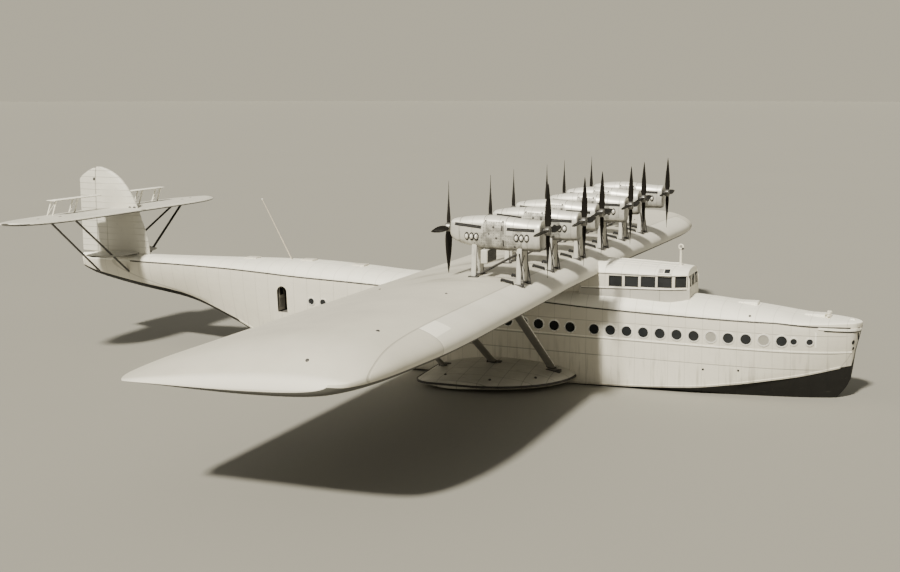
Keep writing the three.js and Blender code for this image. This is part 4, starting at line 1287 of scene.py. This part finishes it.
def dress_wing():
    """The wing with its dark spots of caps and lifting eyes, and the two ailerons."""
    wing = wing_shape()
    for side, sign in SIDES:
        shape, middle = aileron_room(sign, 0.0, 0.013)
        aileron = carve(wing_shape(), shape, "INTERSECT")
        low, high = sorted((sign * AILERON["inner"], sign * AILERON["outer"]))
        piece = Piece(f"aileron_skin_{side}")
        # The aileron's downward faces take the painted shade.
        piece.take(count_below_nose(aileron), wing_skin(), wing_under_shade())
        hinge = AILERON["hinge"]
        piece.take(rod((hinge, low + 0.001, middle), (hinge, high - 0.001, middle), 0.034), dark_fitting())
        piece.finish(f"aileron_{side}", "wing_skin", f"aileron_{side}")
        room, _ = aileron_room(sign, 0.013, 0.0)
        wing = carve(wing, room)
    piece = Piece("wing_skin")
    # The wing's downward faces take the painted shade.
    piece.take(count_below_nose(wing), wing_skin(), wing_under_shade())
    for _, sign in SIDES:
        for x, y, size in WING_DOTS:
            place, normal = WING_SKIN.deck(x, sign * y)
            piece.take(dome(axes_at(place, normal), size, 0.03), dark_fitting())
    piece.finish("airframe", "wing_skin", "wing")


# The engines

def pod_ring(row, y, disc, sides=36, grow=0.0):
    """One section of an engine pod, a rounded box."""
    aft, top, bottom, half = row
    middle = (top + bottom) / 2
    ring = []
    for k in range(sides):
        t = 2 * math.pi * k / sides
        across = math.copysign(abs(math.cos(t)) ** 0.72, math.cos(t)) * (half + grow)
        up = math.copysign(abs(math.sin(t)) ** 0.72, math.sin(t)) * ((top - bottom) / 2 + grow)
        ring.append(Vector((disc - aft, y + across, middle + up)))
    return ring


def pod_shape(disc, y):
    """An engine pod, with its plated middle numbered 1."""
    places = [0.20, 0.22, 0.26, 0.33, 0.45, 0.60, 0.90, 1.25, 1.56, 1.60, 1.90, 2.20, 2.45, 2.66, 2.70, 2.9]
    places += [3.1, 3.35, 3.55, 3.68, 3.78, 3.84, 3.88]
    shape = loft([pod_ring((p, *glide(POD, p)), y, disc) for p in places])
    for face in shape.faces:
        at = face.calc_center_median()
        aft = disc - at.x
        plated = 1.58 < aft < 2.46 and at.z < 8.12 or 0.9 < aft < 3.0 and at.z < 7.72
        face.material_index = 1 if plated else 0
    return shape


def propeller_shape(disc, y, turn, hand):
    """One blade of either hand, twisted and drawn to a point, turned into its place round the hub."""
    rings = []
    about = Matrix.Translation((disc, y, ENGINE["axis_z"])) @ Matrix.Rotation(turn, 4, "X")
    places = (0.06, 0.12, 0.20, 0.32, 0.45, 0.60, 0.78, 0.95, 1.12, 1.28, 1.42, 1.55, 1.66, 1.74, 1.79, 1.81)
    for at in places:
        chord, thick, twist = glide(BLADE, at)
        sine = math.sin(math.radians(twist))
        cosine = math.cos(math.radians(twist))
        ring = []
        for u, v in streamlined(chord, thick, 14):
            ring.append(about @ Vector((hand * (u * sine + v * cosine), u * cosine - v * sine, at)))
        rings.append(ring)
    return loft(rings)


def dress_propeller(index, place, disc, y):
    """A four-bladed propeller with its hub, bolts and boss."""
    piece = Piece(f"propeller_{index}_{place}_blades")
    fore = 1 if place == "fore" else -1
    for k in range(4):
        piece.take(propeller_shape(disc, y, k * math.pi / 2, fore), propeller_wood())
    at = axes_at((disc, y, ENGINE["axis_z"]), (fore, 0, 0))
    piece.take(turned(((0, -0.10), (0.175, -0.10), (0.19, -0.06), (0.19, 0.06), (0.16, 0.10), (0, 0.10)), at),
               blade_sheath())
    piece.take(turned(((0, 0.09), (0.10, 0.09), (0.095, 0.105), (0, 0.108)), at, 20), dark_fitting())
    for k in range(8):
        t = 2 * math.pi * k / 8
        bolt = at @ Vector((math.cos(t) * 0.135, math.sin(t) * 0.135, 0.095))
        piece.take(rod(bolt, bolt + Vector((fore * 0.014, 0, 0)), 0.018, segments=6), dark_fitting())
    node = f"propeller_{index}_{place}"
    piece.finish(node, "propeller_wood", node)


def dress_engine(index):
    """A pod with its slots, bulges and cowl bands, its mount and radiator, and its two propellers."""
    y = (index - 1 - (MOUNT_COUNT - 1) / 2) * MOUNT_PITCH
    disc = ENGINE["front_disc"] + (1 if index % 2 == 0 else -1) * ENGINE["stagger"]
    rear = disc - ENGINE["disc_gap"]
    axis = ENGINE["axis_z"]
    piece = Piece(f"nacelle_{index}_cowls")
    shape = pod_shape(disc, y)
    skin = Skin(shape)
    piece.take(shape, cowl_metal(), cowl_plate())
    piece.take(rod((rear + 0.112, y, axis), (disc - 0.112, y, axis), 0.105, segments=24), dark_fitting())
    for aft in (1.56, 2.45, 3.45):
        ring = [Vector(p) for p in pod_ring((aft, *glide(POD, aft)), y, disc, 36)]
        middle = Vector((disc - aft, y, 7.65))
        piece.take(strip(ring + ring[:1], [p - middle for p in ring + ring[:1]], 0.028, 0.007), cowl_plate())
    for aft in (0.30, 0.36, 0.42, 0.48, 0.54):
        ring = [p for p in pod_ring((aft, *glide(POD, aft)), y, disc, 36) if p.z < 7.62]
        ring.sort(key=lambda p: math.atan2(p.y - y, p.z - 7.65) % (2 * math.pi))
        piece.take(strip(ring, [(0, p.y - y, p.z - 7.65) for p in ring], 0.022, 0.008), cowl_metal())
    for _, sign in SIDES:
        for low, low_z, high, high_z in SLOTS:
            slope = (high_z - low_z) / (high - low)
            seats = [skin.side(disc - aft, low_z + slope * (aft - low), sign) for aft in steps(low, high, 8)]
            places = [p for p, _ in seats]
            normals = [n for _, n in seats]
            piece.take(strip(places, normals, 0.13, 0.010), deep_black())
            piece.take(strip(places[1:-1], normals[1:-1], 0.016, 0.014), dark_fitting())
        for aft in BULGES:
            place, normal = skin.side(disc - aft, 7.54, sign)
            at = axes_at(place, normal) @ Matrix.Diagonal((0.65, 1.0, 1.0, 1.0))
            # The black disc under each bulge is a painted shadow round the bulge.
            piece.take(turned(((0, -0.03), (0.165, -0.03), (0.155, 0.012), (0, 0.016)), at, 24), deep_black())
            piece.take(dome(at, 0.105, 0.10), bright_fitting())
        seats = [skin.side(disc - 1.64, z, sign) for z in steps(7.21, 7.45, 4)]
        piece.take(strip([p for p, _ in seats], [n for _, n in seats], 0.05, 0.008), deep_black())
        seats = [skin.side(disc - 1.70, z, sign) for z in steps(7.80, 8.00, 4)]
        piece.take(strip([p for p, _ in seats], [n for _, n in seats], 0.07, 0.008), dark_fitting())
        for aft, z, size in POD_DOTS:
            place, normal = skin.side(disc - aft, z, sign)
            piece.take(dome(axes_at(place, normal), size, 0.008, 14), dark_fitting())
    piece.finish("airframe", "engine_cowl", f"nacelle_{index}")
    dress_mount(index, y, disc)
    dress_propeller(index, "fore", disc, y)
    dress_propeller(index, "aft", rear, y)


def wing_top(x, y):
    """Height of the wing's upper skin."""
    return WING_SKIN.deck(x, y)[0].z


def dress_mount(index, y, disc):
    """The open mount: four streamlined legs with shoes, braces, and the radiator under the pod."""
    piece = Piece(f"engine_mount_{index}_frame")
    r = RADIATOR
    for _, sign in SIDES:
        at = y + sign * LEG["half"]
        for x in (LEG["fore_x"], LEG["aft_x"]):
            foot = wing_top(x, at)
            head = (x, at - sign * LEG["lean"], LEG["top"])
            piece.take(strut((x, at, foot - 0.05), head, LEG["chord"], LEG["thick"], 0.0), mount_paint())
            # A dark rod along each leg's fore edge: a painted shade line down the leg's shaded side.
            edge = Vector((LEG["chord"] / 2 + 0.006, 0, 0))
            seam = rod(Vector((x, at, foot)) + edge, Vector(head) + edge, 0.016, segments=8)
            piece.take(seam, dark_fitting())
            shoe = slab((x - 0.20, at - 0.12, foot - 0.08), (x + 0.20, at + 0.12, foot + 0.04), 0.02)
            piece.take(shoe, dark_fitting())
        for (x0, z0), (x1, z1), radius in MOUNT_RODS:
            piece.take(rod((x0, at, z0), (x1, at, z1), radius), dark_fitting())
        # A bar on two posts in unlit black: painted shade where a dark slot shows beside the legs.
        ends = [WING_SKIN.deck(x, at + sign * 0.22)[0] for x in (1.38, 1.86)]
        piece.take(rod(ends[0] + Vector((0, 0, 0.09)), ends[1] + Vector((0, 0, 0.09)), 0.055), deep_black())
        for end in ends:
            piece.take(rod(end - Vector((0, 0, 0.03)), end + Vector((0, 0, 0.09)), 0.035), deep_black())
    for half in (-LEG["half"], LEG["half"]):
        wire = rod((LEG["fore_x"], y + half, 6.1), (LEG["fore_x"], y - half, 6.9), 0.014)
        piece.take(wire, dark_fitting())
    near = y - r["half"]
    far = y + r["half"]
    piece.take(slab((r["aft"], near, r["low"]), (r["fore"], far, r["high"]), 0.05, 3), mount_paint())
    for x in (r["aft"], r["fore"]):
        low = (x - 0.012, near + 0.06, r["low"] + 0.06)
        high = (x + 0.012, far - 0.06, r["high"] - 0.03)
        piece.take(slab(low, high, 0.008), radiator_core())
    piece.finish("airframe", "mount_metal", f"engine_mount_{index}")


# Sponsons and struts

def sponson_ring(y, sign, count=44):
    """One section of a sponson, full at the nose and drawn out at the tail."""
    s = SPONSON
    u = max(0.0, (y - s["start"]) / (s["tip"] - s["start"]))
    v = max(0.0, (y - (s["tip"] - 0.8)) / 0.8)
    lead = s["shoulder"] + (s["lead"] - s["shoulder"]) * math.sqrt(max(0.01, 1 - u * u))
    trail = s["trail"] + 0.8 * (1 - math.sqrt(max(0.0, 1 - v * v)))
    middle = 0.42 - 0.12 * u
    thick = 1.12 - 0.78 * u ** 1.3
    ring = []
    for k in range(count):
        t = 2 * math.pi * k / count
        along = math.cos(t)
        swell = math.sin(t) * (1 - 0.45 * along * along if along < 0 else 1)
        x = (lead + trail) / 2 + along * (lead - trail) / 2
        ring.append(Vector((x, sign * y, middle + swell * thick / 2)))
    return ring


def sponson_places():
    return [1.30, 1.75, 2.1, 2.5, 2.9, 3.3, 3.7, 4.05, 4.35, 4.6, 4.78, 4.9, 4.98, 5.04, 5.08, 5.10]


def dress_sponson(side, sign):
    """A sponson with its rim, deck cleats and strut shoes, and the three struts up to the wing."""
    piece = Piece(f"sponson_shell_{side}")
    shape = loft([sponson_ring(y, sign) for y in sponson_places()])
    skin = Skin(shape)
    piece.take(shape, sponson_skin())
    rim = []
    for y in sponson_places()[1:]:
        rim.append(sponson_ring(y, sign)[0])
    for y in reversed(sponson_places()[1:]):
        rim.append(sponson_ring(y, sign)[22])
    centre = Vector((-1.4, 0, 0.4))
    piece.take(strip(rim, [(p - centre) * Vector((1, 1, 0)) for p in rim], 0.10, 0.03), dark_fitting())
    for x, y in ((0.6, 3.6), (-3.4, 4.3), (-1.2, 4.55)):
        place, normal = skin.deck(x, sign * y)
        piece.take(dome(axes_at(place, normal), 0.07, 0.06), dark_fitting())
    for name, foot_x, foot_z, top_x, chord in WING_STRUTS:
        place, _ = skin.deck(foot_x, sign * STRUT_Y[0])
        shoe = slab(place + Vector((-0.34, -0.16, -0.10)), place + Vector((0.34, 0.16, 0.05)), 0.03)
        piece.take(shoe, dark_fitting())
    piece.finish("airframe", "sponson_skin", f"sponson_{side}")
    for name, foot_x, foot_z, top_x, chord in WING_STRUTS:
        low = Vector((foot_x, sign * STRUT_Y[0], foot_z))
        high = Vector((top_x, sign * STRUT_Y[1], chord_z(top_x, STRUT_Y[1])))
        piece = Piece(f"wing_strut_{side}_{name}_bar")
        piece.take(strut(low, high, chord, 0.17), strut_metal())
        reach = (high - low).normalized()
        for at in (low + reach * 0.42, high - reach * 0.62):
            piece.take(strut(at - reach * 0.05, at + reach * 0.05, chord + 0.05, 0.21), dark_fitting())
        if name == "fore":
            edge = Vector((chord / 2, 0, 0))
            # A bright rod along the fore strut's leading edge: a painted highlight.
            bright = rod(low + edge + reach * 0.5, high + edge - reach * 0.7, 0.016, segments=8)
            piece.take(bright, bright_fitting())
        piece.finish("airframe", "strut_metal", f"wing_strut_{side}_{name}")


# The tail

def plane_ring(p, y, count):
    """One section of a tail plane with a rounded tip."""
    fit = math.sqrt(max(0.04, 1 - (abs(y) / p["half"]) ** p["round"]))
    full = p["lead"] - p["trail"]
    run = full * fit
    lead = (p["lead"] + p["trail"]) / 2 - full * p["sweep"] * (1 - fit) + run / 2
    depth = p["thick"] * (0.35 + 0.65 * fit) / fit
    return [Vector((lead - run * t, y, p["z"] + h * run)) for t, h in section(depth, 0.0, count)]


def tail_shape():
    """Stabilizer and elevators together."""
    places = steps(0, 4.5, 6) + steps(4.5, 7.2, 6)[1:] + [7.5, 7.8, 8.0, 8.2, 8.33, 8.43, 8.50, 8.56]
    return loft([plane_ring(TAIL, y, 16) for y in mirrored(places)])


def elevator_room(low, high, clear):
    """The room that the elevators turn in, or with no clearance their own outline."""
    nose = (TAIL["lead"] - TAIL["trail"]) * TAIL["thick"] * 0.37
    return flap_tool("y", TAIL["hinge"], TAIL["z"], low, high, nose + clear)


def fin_shape():
    """Fin and rudder together."""
    heights = [4.30, 4.45, 4.60, 4.66, 4.9, 5.15, 5.39, 5.9, 6.42, 6.85, 7.25, 7.6, 7.87, 8.15, 8.43]
    heights += [8.60, 8.75, 8.86, 8.95, 9.03, 9.08, 9.10]
    rings = []
    for z in heights:
        lead, trail = glide(FIN_OUTLINE, z)
        run = lead - trail
        full = min(1.0, (FIN["top"] - z) / FIN["tip_run"])
        depth = FIN["tip_thick"] + (FIN["thick"] - FIN["tip_thick"]) * full
        rings.append([Vector((lead - run * t, h * run, z)) for t, h in section(depth / run, 0.0, 16)])
    return loft(rings)


def servo_plane(sign):
    """The small plane over one elevator, with its posts and their diagonals."""
    run = SERVO["lead"] - SERVO["trail"]
    rings = []
    for y in (SERVO["inner"], SERVO["inner"] + 0.03, SERVO["outer"] - 0.03, SERVO["outer"]):
        size = 1.0 if SERVO["inner"] < y < SERVO["outer"] else 0.7
        rings.append([Vector((SERVO["lead"] - run * t, sign * y, SERVO["z"] + h * run * size))
                      for t, h in section(SERVO["thick"], 0, 10)])
    shapes = [loft(rings)]
    spans, posts = SERVO_POSTS
    for place in spans:
        y = sign * place
        for top, foot in posts:
            shapes.append(rod((top, y, SERVO["z"]), (foot, y, TAIL["z"] + 0.03), 0.036, segments=10))
        low = (posts[1][1], y, TAIL["z"] + 0.05)
        shapes.append(rod((posts[0][0], y, SERVO["z"]), low, 0.014, segments=8))
    return joined(shapes)


def dress_tail():
    """Stabilizer, elevators with their servo planes, fin, rudder, low plane and struts."""
    piece = Piece("stabilizer_skin")
    # Every face of the stabilizer but its upward ones takes the painted shade.
    shape = count_under(carve(tail_shape(), elevator_room(-12, 12, 0.013)), 0.45)
    piece.take(shape, tail_skin(), tail_under_shade())
    skin = Skin(tail_shape())
    for x, y in TAIL_DOTS:
        place, normal = skin.deck(x, y)
        piece.take(dome(axes_at(place, normal), 0.085, 0.012, 14), dark_fitting())
    piece.finish("airframe", "tail_skin", "stabilizer")
    for side, sign in SIDES:
        low, high = sorted((sign * TAIL["inner"], sign * 12))
        elevator = carve(tail_shape(), elevator_room(low, high, 0.0), "INTERSECT")
        piece = Piece(f"elevator_skin_{side}")
        # The elevator's downward faces take the painted shade.
        piece.take(count_under(elevator), tail_skin(), tail_under_shade())
        piece.finish(f"elevator_{side}", "tail_skin", f"elevator_{side}")
        piece = Piece(f"servo_plane_{side}_frame")
        # The servo plane's downward faces take the painted shade, and its tops the painted highlight.
        piece.take(count_under(servo_plane(sign), -0.6), lit_crown_paint(), tail_under_shade())
        piece.finish(f"elevator_{side}", "tail_skin", f"servo_plane_{side}")
    room = flap_tool("z", FIN["hinge"], 0.0, FIN["rudder_foot"], FIN["top"] + 1, FIN["nose"] + 0.013)
    piece = Piece("fin_skin")
    piece.take(carve(fin_shape(), room), tail_skin())
    skin = Skin(fin_shape())
    spots = []
    for x, z in FIN_DOTS:
        for _, sign in SIDES:
            spots.append(dome(axes_at(*skin.side(x, z, sign)), 0.085, 0.012, 14))
    for spot in spots[2:]:
        piece.take(spot, dark_fitting())
    piece.finish("airframe", "tail_skin", "fin")
    shape = flap_tool("z", FIN["hinge"], 0.0, FIN["rudder_foot"] + 0.013, FIN["rudder_top"], FIN["nose"])
    piece = Piece("rudder_skin")
    piece.take(carve(fin_shape(), shape, "INTERSECT"), tail_skin())
    for spot in spots[:2]:
        piece.take(spot, dark_fitting())
    piece.finish("rudder", "tail_skin", "rudder")
    piece = Piece("low_tailplane_skin")
    places = [0, 0.6, 1.2, 1.6, 1.85, 2.0, 2.12, 2.22, 2.30, 2.37]
    plane = loft([plane_ring(LOW_PLANE, y, 10) for y in mirrored(places)])
    # The low plane's sides and underside take the painted shade, for the stabilizer's shadow over it.
    piece.take(count_under(plane, 0.3), tail_skin(), tail_under_shade())
    piece.finish("airframe", "tail_skin", "low_tailplane")
    for side, sign in SIDES:
        for name, low, high in TAIL_STRUTS:
            a = Vector((low[0], sign * low[1], low[2]))
            b = Vector((high[0], sign * high[1], high[2] - 0.08))
            piece = Piece(f"tail_strut_{side}_{name}_bar")
            piece.take(strut(a, b, 0.16, 0.09), dark_fitting())
            piece.finish("airframe", "strut_metal", f"tail_strut_{side}_{name}")


# Door and deck fittings

def dress_door():
    """The leaf that stands open inside the rear doorway, with its pane, frame and handle."""
    piece = Piece("rear_door_leaf")
    x = DOOR["hinge_x"]
    y = DOOR["hinge_y"]
    top = DOOR["top"] - 0.016
    piece.take(slab((x - 0.024, y, DOOR["sill"] + 0.017), (x + 0.024, y + 0.615, top), 0.008), hull_paint())
    piece.take(slab((x - 0.029, y + 0.08, 2.46), (x + 0.029, y + 0.53, 2.92), 0.008), belt_paint())
    piece.take(slab((x - 0.029, y + 0.12, 3.08), (x + 0.029, y + 0.49, 3.44), 0.008), window_glass())
    piece.take(rod((x, y, 2.30), (x, y, 3.64), 0.028), dark_fitting())
    handle = rod((x - 0.06, y + 0.56, 2.96), (x + 0.06, y + 0.56, 2.96), 0.014, segments=10)
    piece.take(handle, bright_fitting())
    piece.finish("rear_door", "hull_skin", "rear_door")


def dress_fittings():
    """Mast with its loop aerial, flagstaff, and the bow bollard."""
    piece = Piece("roof_mast_rig")
    piece.take(rod((6.15, 0, 5.3), (6.15, 0, 6.10), 0.060, 0.052), hull_paint())
    cone = turned(((0, -0.10), (0.10, -0.10), (0.055, 0.06), (0, 0.06)), Matrix.Translation((6.15, 0, 5.47)))
    piece.take(cone, hull_paint())
    loop = Matrix.Translation((6.15, 0, 6.24)) @ Matrix.Rotation(math.radians(90), 4, "X")
    profile = [(0.095 + 0.042 * math.cos(t), 0.040 * math.sin(t)) for t in steps(0, 2 * math.pi, 10)[:-1]]
    piece.take(turned(profile, loop, 36), hull_paint())
    piece.take(rod((6.23, -0.04, 6.16), (6.23, 0.04, 6.16), 0.05), dark_fitting())
    piece.finish("airframe", "fittings", "roof_mast")
    piece = Piece("flagstaff_pole")
    low = Vector((-13.21, 0, 4.42))
    high = Vector((-14.99, 0, 7.68))
    piece.take(rod(low, high, 0.036, 0.022), staff_wood())
    piece.take(dome(Matrix.Translation(high), 0.045, 0.045), bright_fitting())
    piece.finish("airframe", "staff_wood", "flagstaff")
    piece = Piece("bow_bollard_posts")
    post = ((0, 0), (0.085, 0), (0.085, 0.34), (0.105, 0.37), (0.105, 0.42), (0.07, 0.44), (0, 0.44))
    for sign in (-1, 1):
        piece.take(turned(post, Matrix.Translation((12.6, sign * 0.22, 3.30))), hull_paint())
    piece.take(rod((12.6, -0.42, 3.62), (12.6, 0.42, 3.62), 0.045), hull_paint())
    piece.finish("airframe", "fittings", "bow_bollard")


# Settings

def colour(name, text, value):
    """A colour that a user may change."""
    return FloatVectorProperty(
        name=name, description=text, subtype="COLOR", size=3, min=0, max=1, default=value)


class HullSettings(bpy.types.PropertyGroup):
    paint: colour("Paint", "Light paint on the hull and bridge", (0.70, 0.665, 0.57))
    # The crown colour is a painted highlight: the hull paint made brighter where light falls on the deck and
    # the bridge roof.
    crown: colour("Crown", "Paint on the crowned deck and the bridge roof", (0.93, 0.90, 0.80))
    bottom: colour("Bottom", "Paint below the chine", (0.011, 0.0105, 0.0095))
    belt: colour("Belt", "Duller belt under the bridge windows", (0.47, 0.45, 0.40))
    dirt: colour("Dirt", "Runs of dirt down the sides", (0.34, 0.32, 0.27))
    # This colour paints the joints between plates and also the painted shadow line under the rail.
    seam: colour("Seams", "Joints between plates", (0.15, 0.145, 0.13))
    porthole: FloatProperty(name="Porthole", description="Diameter of a porthole at full size", unit="LENGTH",
                            default=0.44)
    pitch: FloatProperty(name="Porthole pitch", description="Distance between portholes at full size",
                         unit="LENGTH", default=0.74)


class WingSettings(bpy.types.PropertyGroup):
    skin: colour("Skin", "Covering of the wing", (0.62, 0.59, 0.505))
    # The underside colour is painted shade: a dark tone standing in for the shade under the wing.
    under: colour("Underside", "Covering of the wing's underside", (0.075, 0.072, 0.062))
    sheet: colour("Nose sheet", "Bright sheet along the leading edge", (0.84, 0.81, 0.72))
    stain: colour("Stain", "Joints, dirt and handling marks", (0.27, 0.255, 0.215))


class TailSettings(bpy.types.PropertyGroup):
    skin: colour("Skin", "Covering of the tail", (0.66, 0.64, 0.565))
    # The underside colour is painted shade: a dark tone standing in for the shade under the tail planes.
    under: colour("Underside", "Undersides of the tail planes", (0.07, 0.067, 0.057))
    stain: colour("Stain", "Ribs and handling marks", (0.30, 0.29, 0.255))


class SponsonSettings(bpy.types.PropertyGroup):
    skin: colour("Skin", "Sheet of the sponsons", (0.50, 0.48, 0.415))
    scuff: colour("Scuffs", "Paint worn off by feet", (0.30, 0.29, 0.26))
    strut: colour("Struts", "Paint on the wing and tail struts", (0.15, 0.145, 0.13))


class EngineSettings(bpy.types.PropertyGroup):
    cowl: colour("Cowl", "Bright sheet on the pods", (0.78, 0.76, 0.69))
    plate: colour("Plates", "Mottled plates over the pods' middle", (0.36, 0.35, 0.315))
    # This colour also paints the shade band along the bottoms of the pods.
    oil: colour("Oil", "Oil and joints on the engines", (0.11, 0.105, 0.09))
    mount: colour("Mounts", "Paint on the engine mounts", (0.52, 0.505, 0.455))
    blade: colour("Blades", "Varnished wood of the propellers", (0.010, 0.0085, 0.007))


class StageSettings(bpy.types.PropertyGroup):
    floor: colour("Floor", "Pale floor at the waterline", (0.285, 0.275, 0.24))
    haze: colour("Haze", "Even glow of the far wall, as pale as the floor", (0.55, 0.51, 0.39))
    sky: colour("Sky", "Soft light from all round", (0.80, 0.775, 0.69))
    sky_strength: FloatProperty(name="Sky strength", description="Strength of the soft light", default=0.34)
    sun: FloatProperty(name="Sun", description="Strength of the key light", default=7.2)


# Operators

class BOAT_OT_stage(bpy.types.Operator):
    """Lay the pale floor and its far wall at the waterline, and set the lights and the camera"""
    bl_idname = "boat.stage"
    bl_label = "Stage"

    def execute(self, context):
        s = context.scene.boat_stage
        floor = bmesh.new()
        bmesh.ops.create_circle(floor, cap_ends=True, segments=360, radius=600)
        wall = bmesh.ops.extrude_edge_only(floor, edges=list(floor.edges))["geom"]
        rise = [item for item in wall if isinstance(item, bmesh.types.BMVert)]
        bmesh.ops.translate(floor, vec=(0, 0, 160), verts=rise)
        floor.normal_update()
        for face in floor.faces:
            face.material_index = 0 if abs(face.normal.z) > 0.5 else 1
        mesh = bpy.data.meshes.new("floor")
        floor.to_mesh(mesh)
        floor.free()
        f = Finish("floor_paint", 0.85)
        cloud = f.noise(0.05, 3)
        tone = f.mix(shade(s.floor, 0.98), shade(s.floor, 1.02), cloud)
        mesh.materials.append(f.done(tone, 0.8 + cloud * 0.1))
        f = Finish("haze", 1.0)
        f.feed("Emission Color", (*s.haze, 1.0))
        f.feed("Emission Strength", 1.0)
        f.feed("Specular IOR Level", 0.0)
        mesh.materials.append(f.done((0.0, 0.0, 0.0)))
        plane = bpy.data.objects.new("floor", mesh)
        plane.visible_shadow = False
        context.scene.collection.objects.link(plane)
        world = bpy.data.worlds.new("soft_sky")
        world.use_nodes = True
        world.node_tree.nodes["Background"].inputs["Color"].default_value = (*s.sky, 1)
        world.node_tree.nodes["Background"].inputs["Strength"].default_value = s.sky_strength
        context.scene.world = world
        lamps = (("key", s.sun, 5, (45, 0, -5)), ("fill", s.sun * 0.05, 60, (62, 0, -62)))
        for name, energy, angle, turn in lamps:
            lamp = bpy.data.lights.new(name, "SUN")
            lamp.energy = energy
            lamp.angle = math.radians(angle)
            lamp.color = (1.0, 0.955, 0.83)
            light = bpy.data.objects.new(name, lamp)
            light.rotation_euler = [math.radians(v) for v in turn]
            context.scene.collection.objects.link(light)
        lens = bpy.data.cameras.new("camera")
        lens.sensor_width = 36
        lens.lens = 52.209
        lens.clip_end = 2000
        camera = bpy.data.objects.new("camera", lens)
        camera.location = (8.8967, -28.6144, 6.6246)
        camera.rotation_euler = (math.pi / 2 - 0.1514, 0, 0.3772)
        context.scene.collection.objects.link(camera)
        context.scene.camera = camera
        return {"FINISHED"}


class BOAT_OT_hull(bpy.types.Operator):
    """Dress the hull with its paint, portholes, straps and hatches"""
    bl_idname = "boat.hull"
    bl_label = "Hull"

    def execute(self, context):
        dress_hull()
        return {"FINISHED"}


class BOAT_OT_bridge(bpy.types.Operator):
    """Dress the bridge house and its windows"""
    bl_idname = "boat.bridge"
    bl_label = "Bridge"

    def execute(self, context):
        dress_bridge()
        return {"FINISHED"}


class BOAT_OT_wing(bpy.types.Operator):
    """Dress the wing and its ailerons"""
    bl_idname = "boat.wing"
    bl_label = "Wing"

    def execute(self, context):
        dress_wing()
        return {"FINISHED"}


class BOAT_OT_engines(bpy.types.Operator):
    """Dress the six tandem engines, their mounts and propellers"""
    bl_idname = "boat.engines"
    bl_label = "Engines"

    def execute(self, context):
        for index in range(1, MOUNT_COUNT + 1):
            dress_engine(index)
        return {"FINISHED"}


class BOAT_OT_sponsons(bpy.types.Operator):
    """Dress the sponsons and the wing struts"""
    bl_idname = "boat.sponsons"
    bl_label = "Sponsons"

    def execute(self, context):
        for side, sign in SIDES:
            dress_sponson(side, sign)
        return {"FINISHED"}


class BOAT_OT_tail(bpy.types.Operator):
    """Dress the tail planes, fin, rudder and tail struts"""
    bl_idname = "boat.tail"
    bl_label = "Tail"

    def execute(self, context):
        dress_tail()
        return {"FINISHED"}


class BOAT_OT_fittings(bpy.types.Operator):
    """Dress the door, mast, flagstaff and bollard"""
    bl_idname = "boat.fittings"
    bl_label = "Fittings"

    def execute(self, context):
        dress_door()
        dress_fittings()
        return {"FINISHED"}


OPERATORS = (
    BOAT_OT_stage,
    BOAT_OT_hull,
    BOAT_OT_bridge,
    BOAT_OT_wing,
    BOAT_OT_engines,
    BOAT_OT_sponsons,
    BOAT_OT_tail,
    BOAT_OT_fittings,
)
SETTINGS = (
    ("boat_hull", HullSettings),
    ("boat_wing", WingSettings),
    ("boat_tail", TailSettings),
    ("boat_sponson", SponsonSettings),
    ("boat_engines", EngineSettings),
    ("boat_stage", StageSettings),
)


class BOAT_PT_panel(bpy.types.Panel):
    """Lists the boat's pieces and their settings"""
    bl_idname = "BOAT_PT_panel"
    bl_label = "Flying Boat"
    bl_space_type = "VIEW_3D"
    bl_region_type = "UI"
    bl_category = "Flying Boat"

    def draw(self, context):
        for operator in OPERATORS:
            self.layout.operator(operator.bl_idname)
        for name, group in SETTINGS:
            box = self.layout.box()
            box.label(text=name.replace("_", " ").title())
            for key in group.__annotations__:
                box.prop(getattr(context.scene, name), key)


def register():
    for name, group in SETTINGS:
        bpy.utils.register_class(group)
        setattr(bpy.types.Scene, name, PointerProperty(type=group))
    for operator in OPERATORS:
        bpy.utils.register_class(operator)
    bpy.utils.register_class(BOAT_PT_panel)


def unregister():
    bpy.utils.unregister_class(BOAT_PT_panel)
    for operator in reversed(OPERATORS):
        bpy.utils.unregister_class(operator)
    for name, group in reversed(SETTINGS):
        delattr(bpy.types.Scene, name)
        bpy.utils.unregister_class(group)


def main():
    """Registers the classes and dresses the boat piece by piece."""
    register()
    bpy.ops.boat.stage()
    bpy.ops.boat.hull()
    bpy.ops.boat.bridge()
    bpy.ops.boat.wing()
    bpy.ops.boat.engines()
    bpy.ops.boat.sponsons()
    bpy.ops.boat.tail()
    bpy.ops.boat.fittings()


if __name__ == "__main__":
    main()
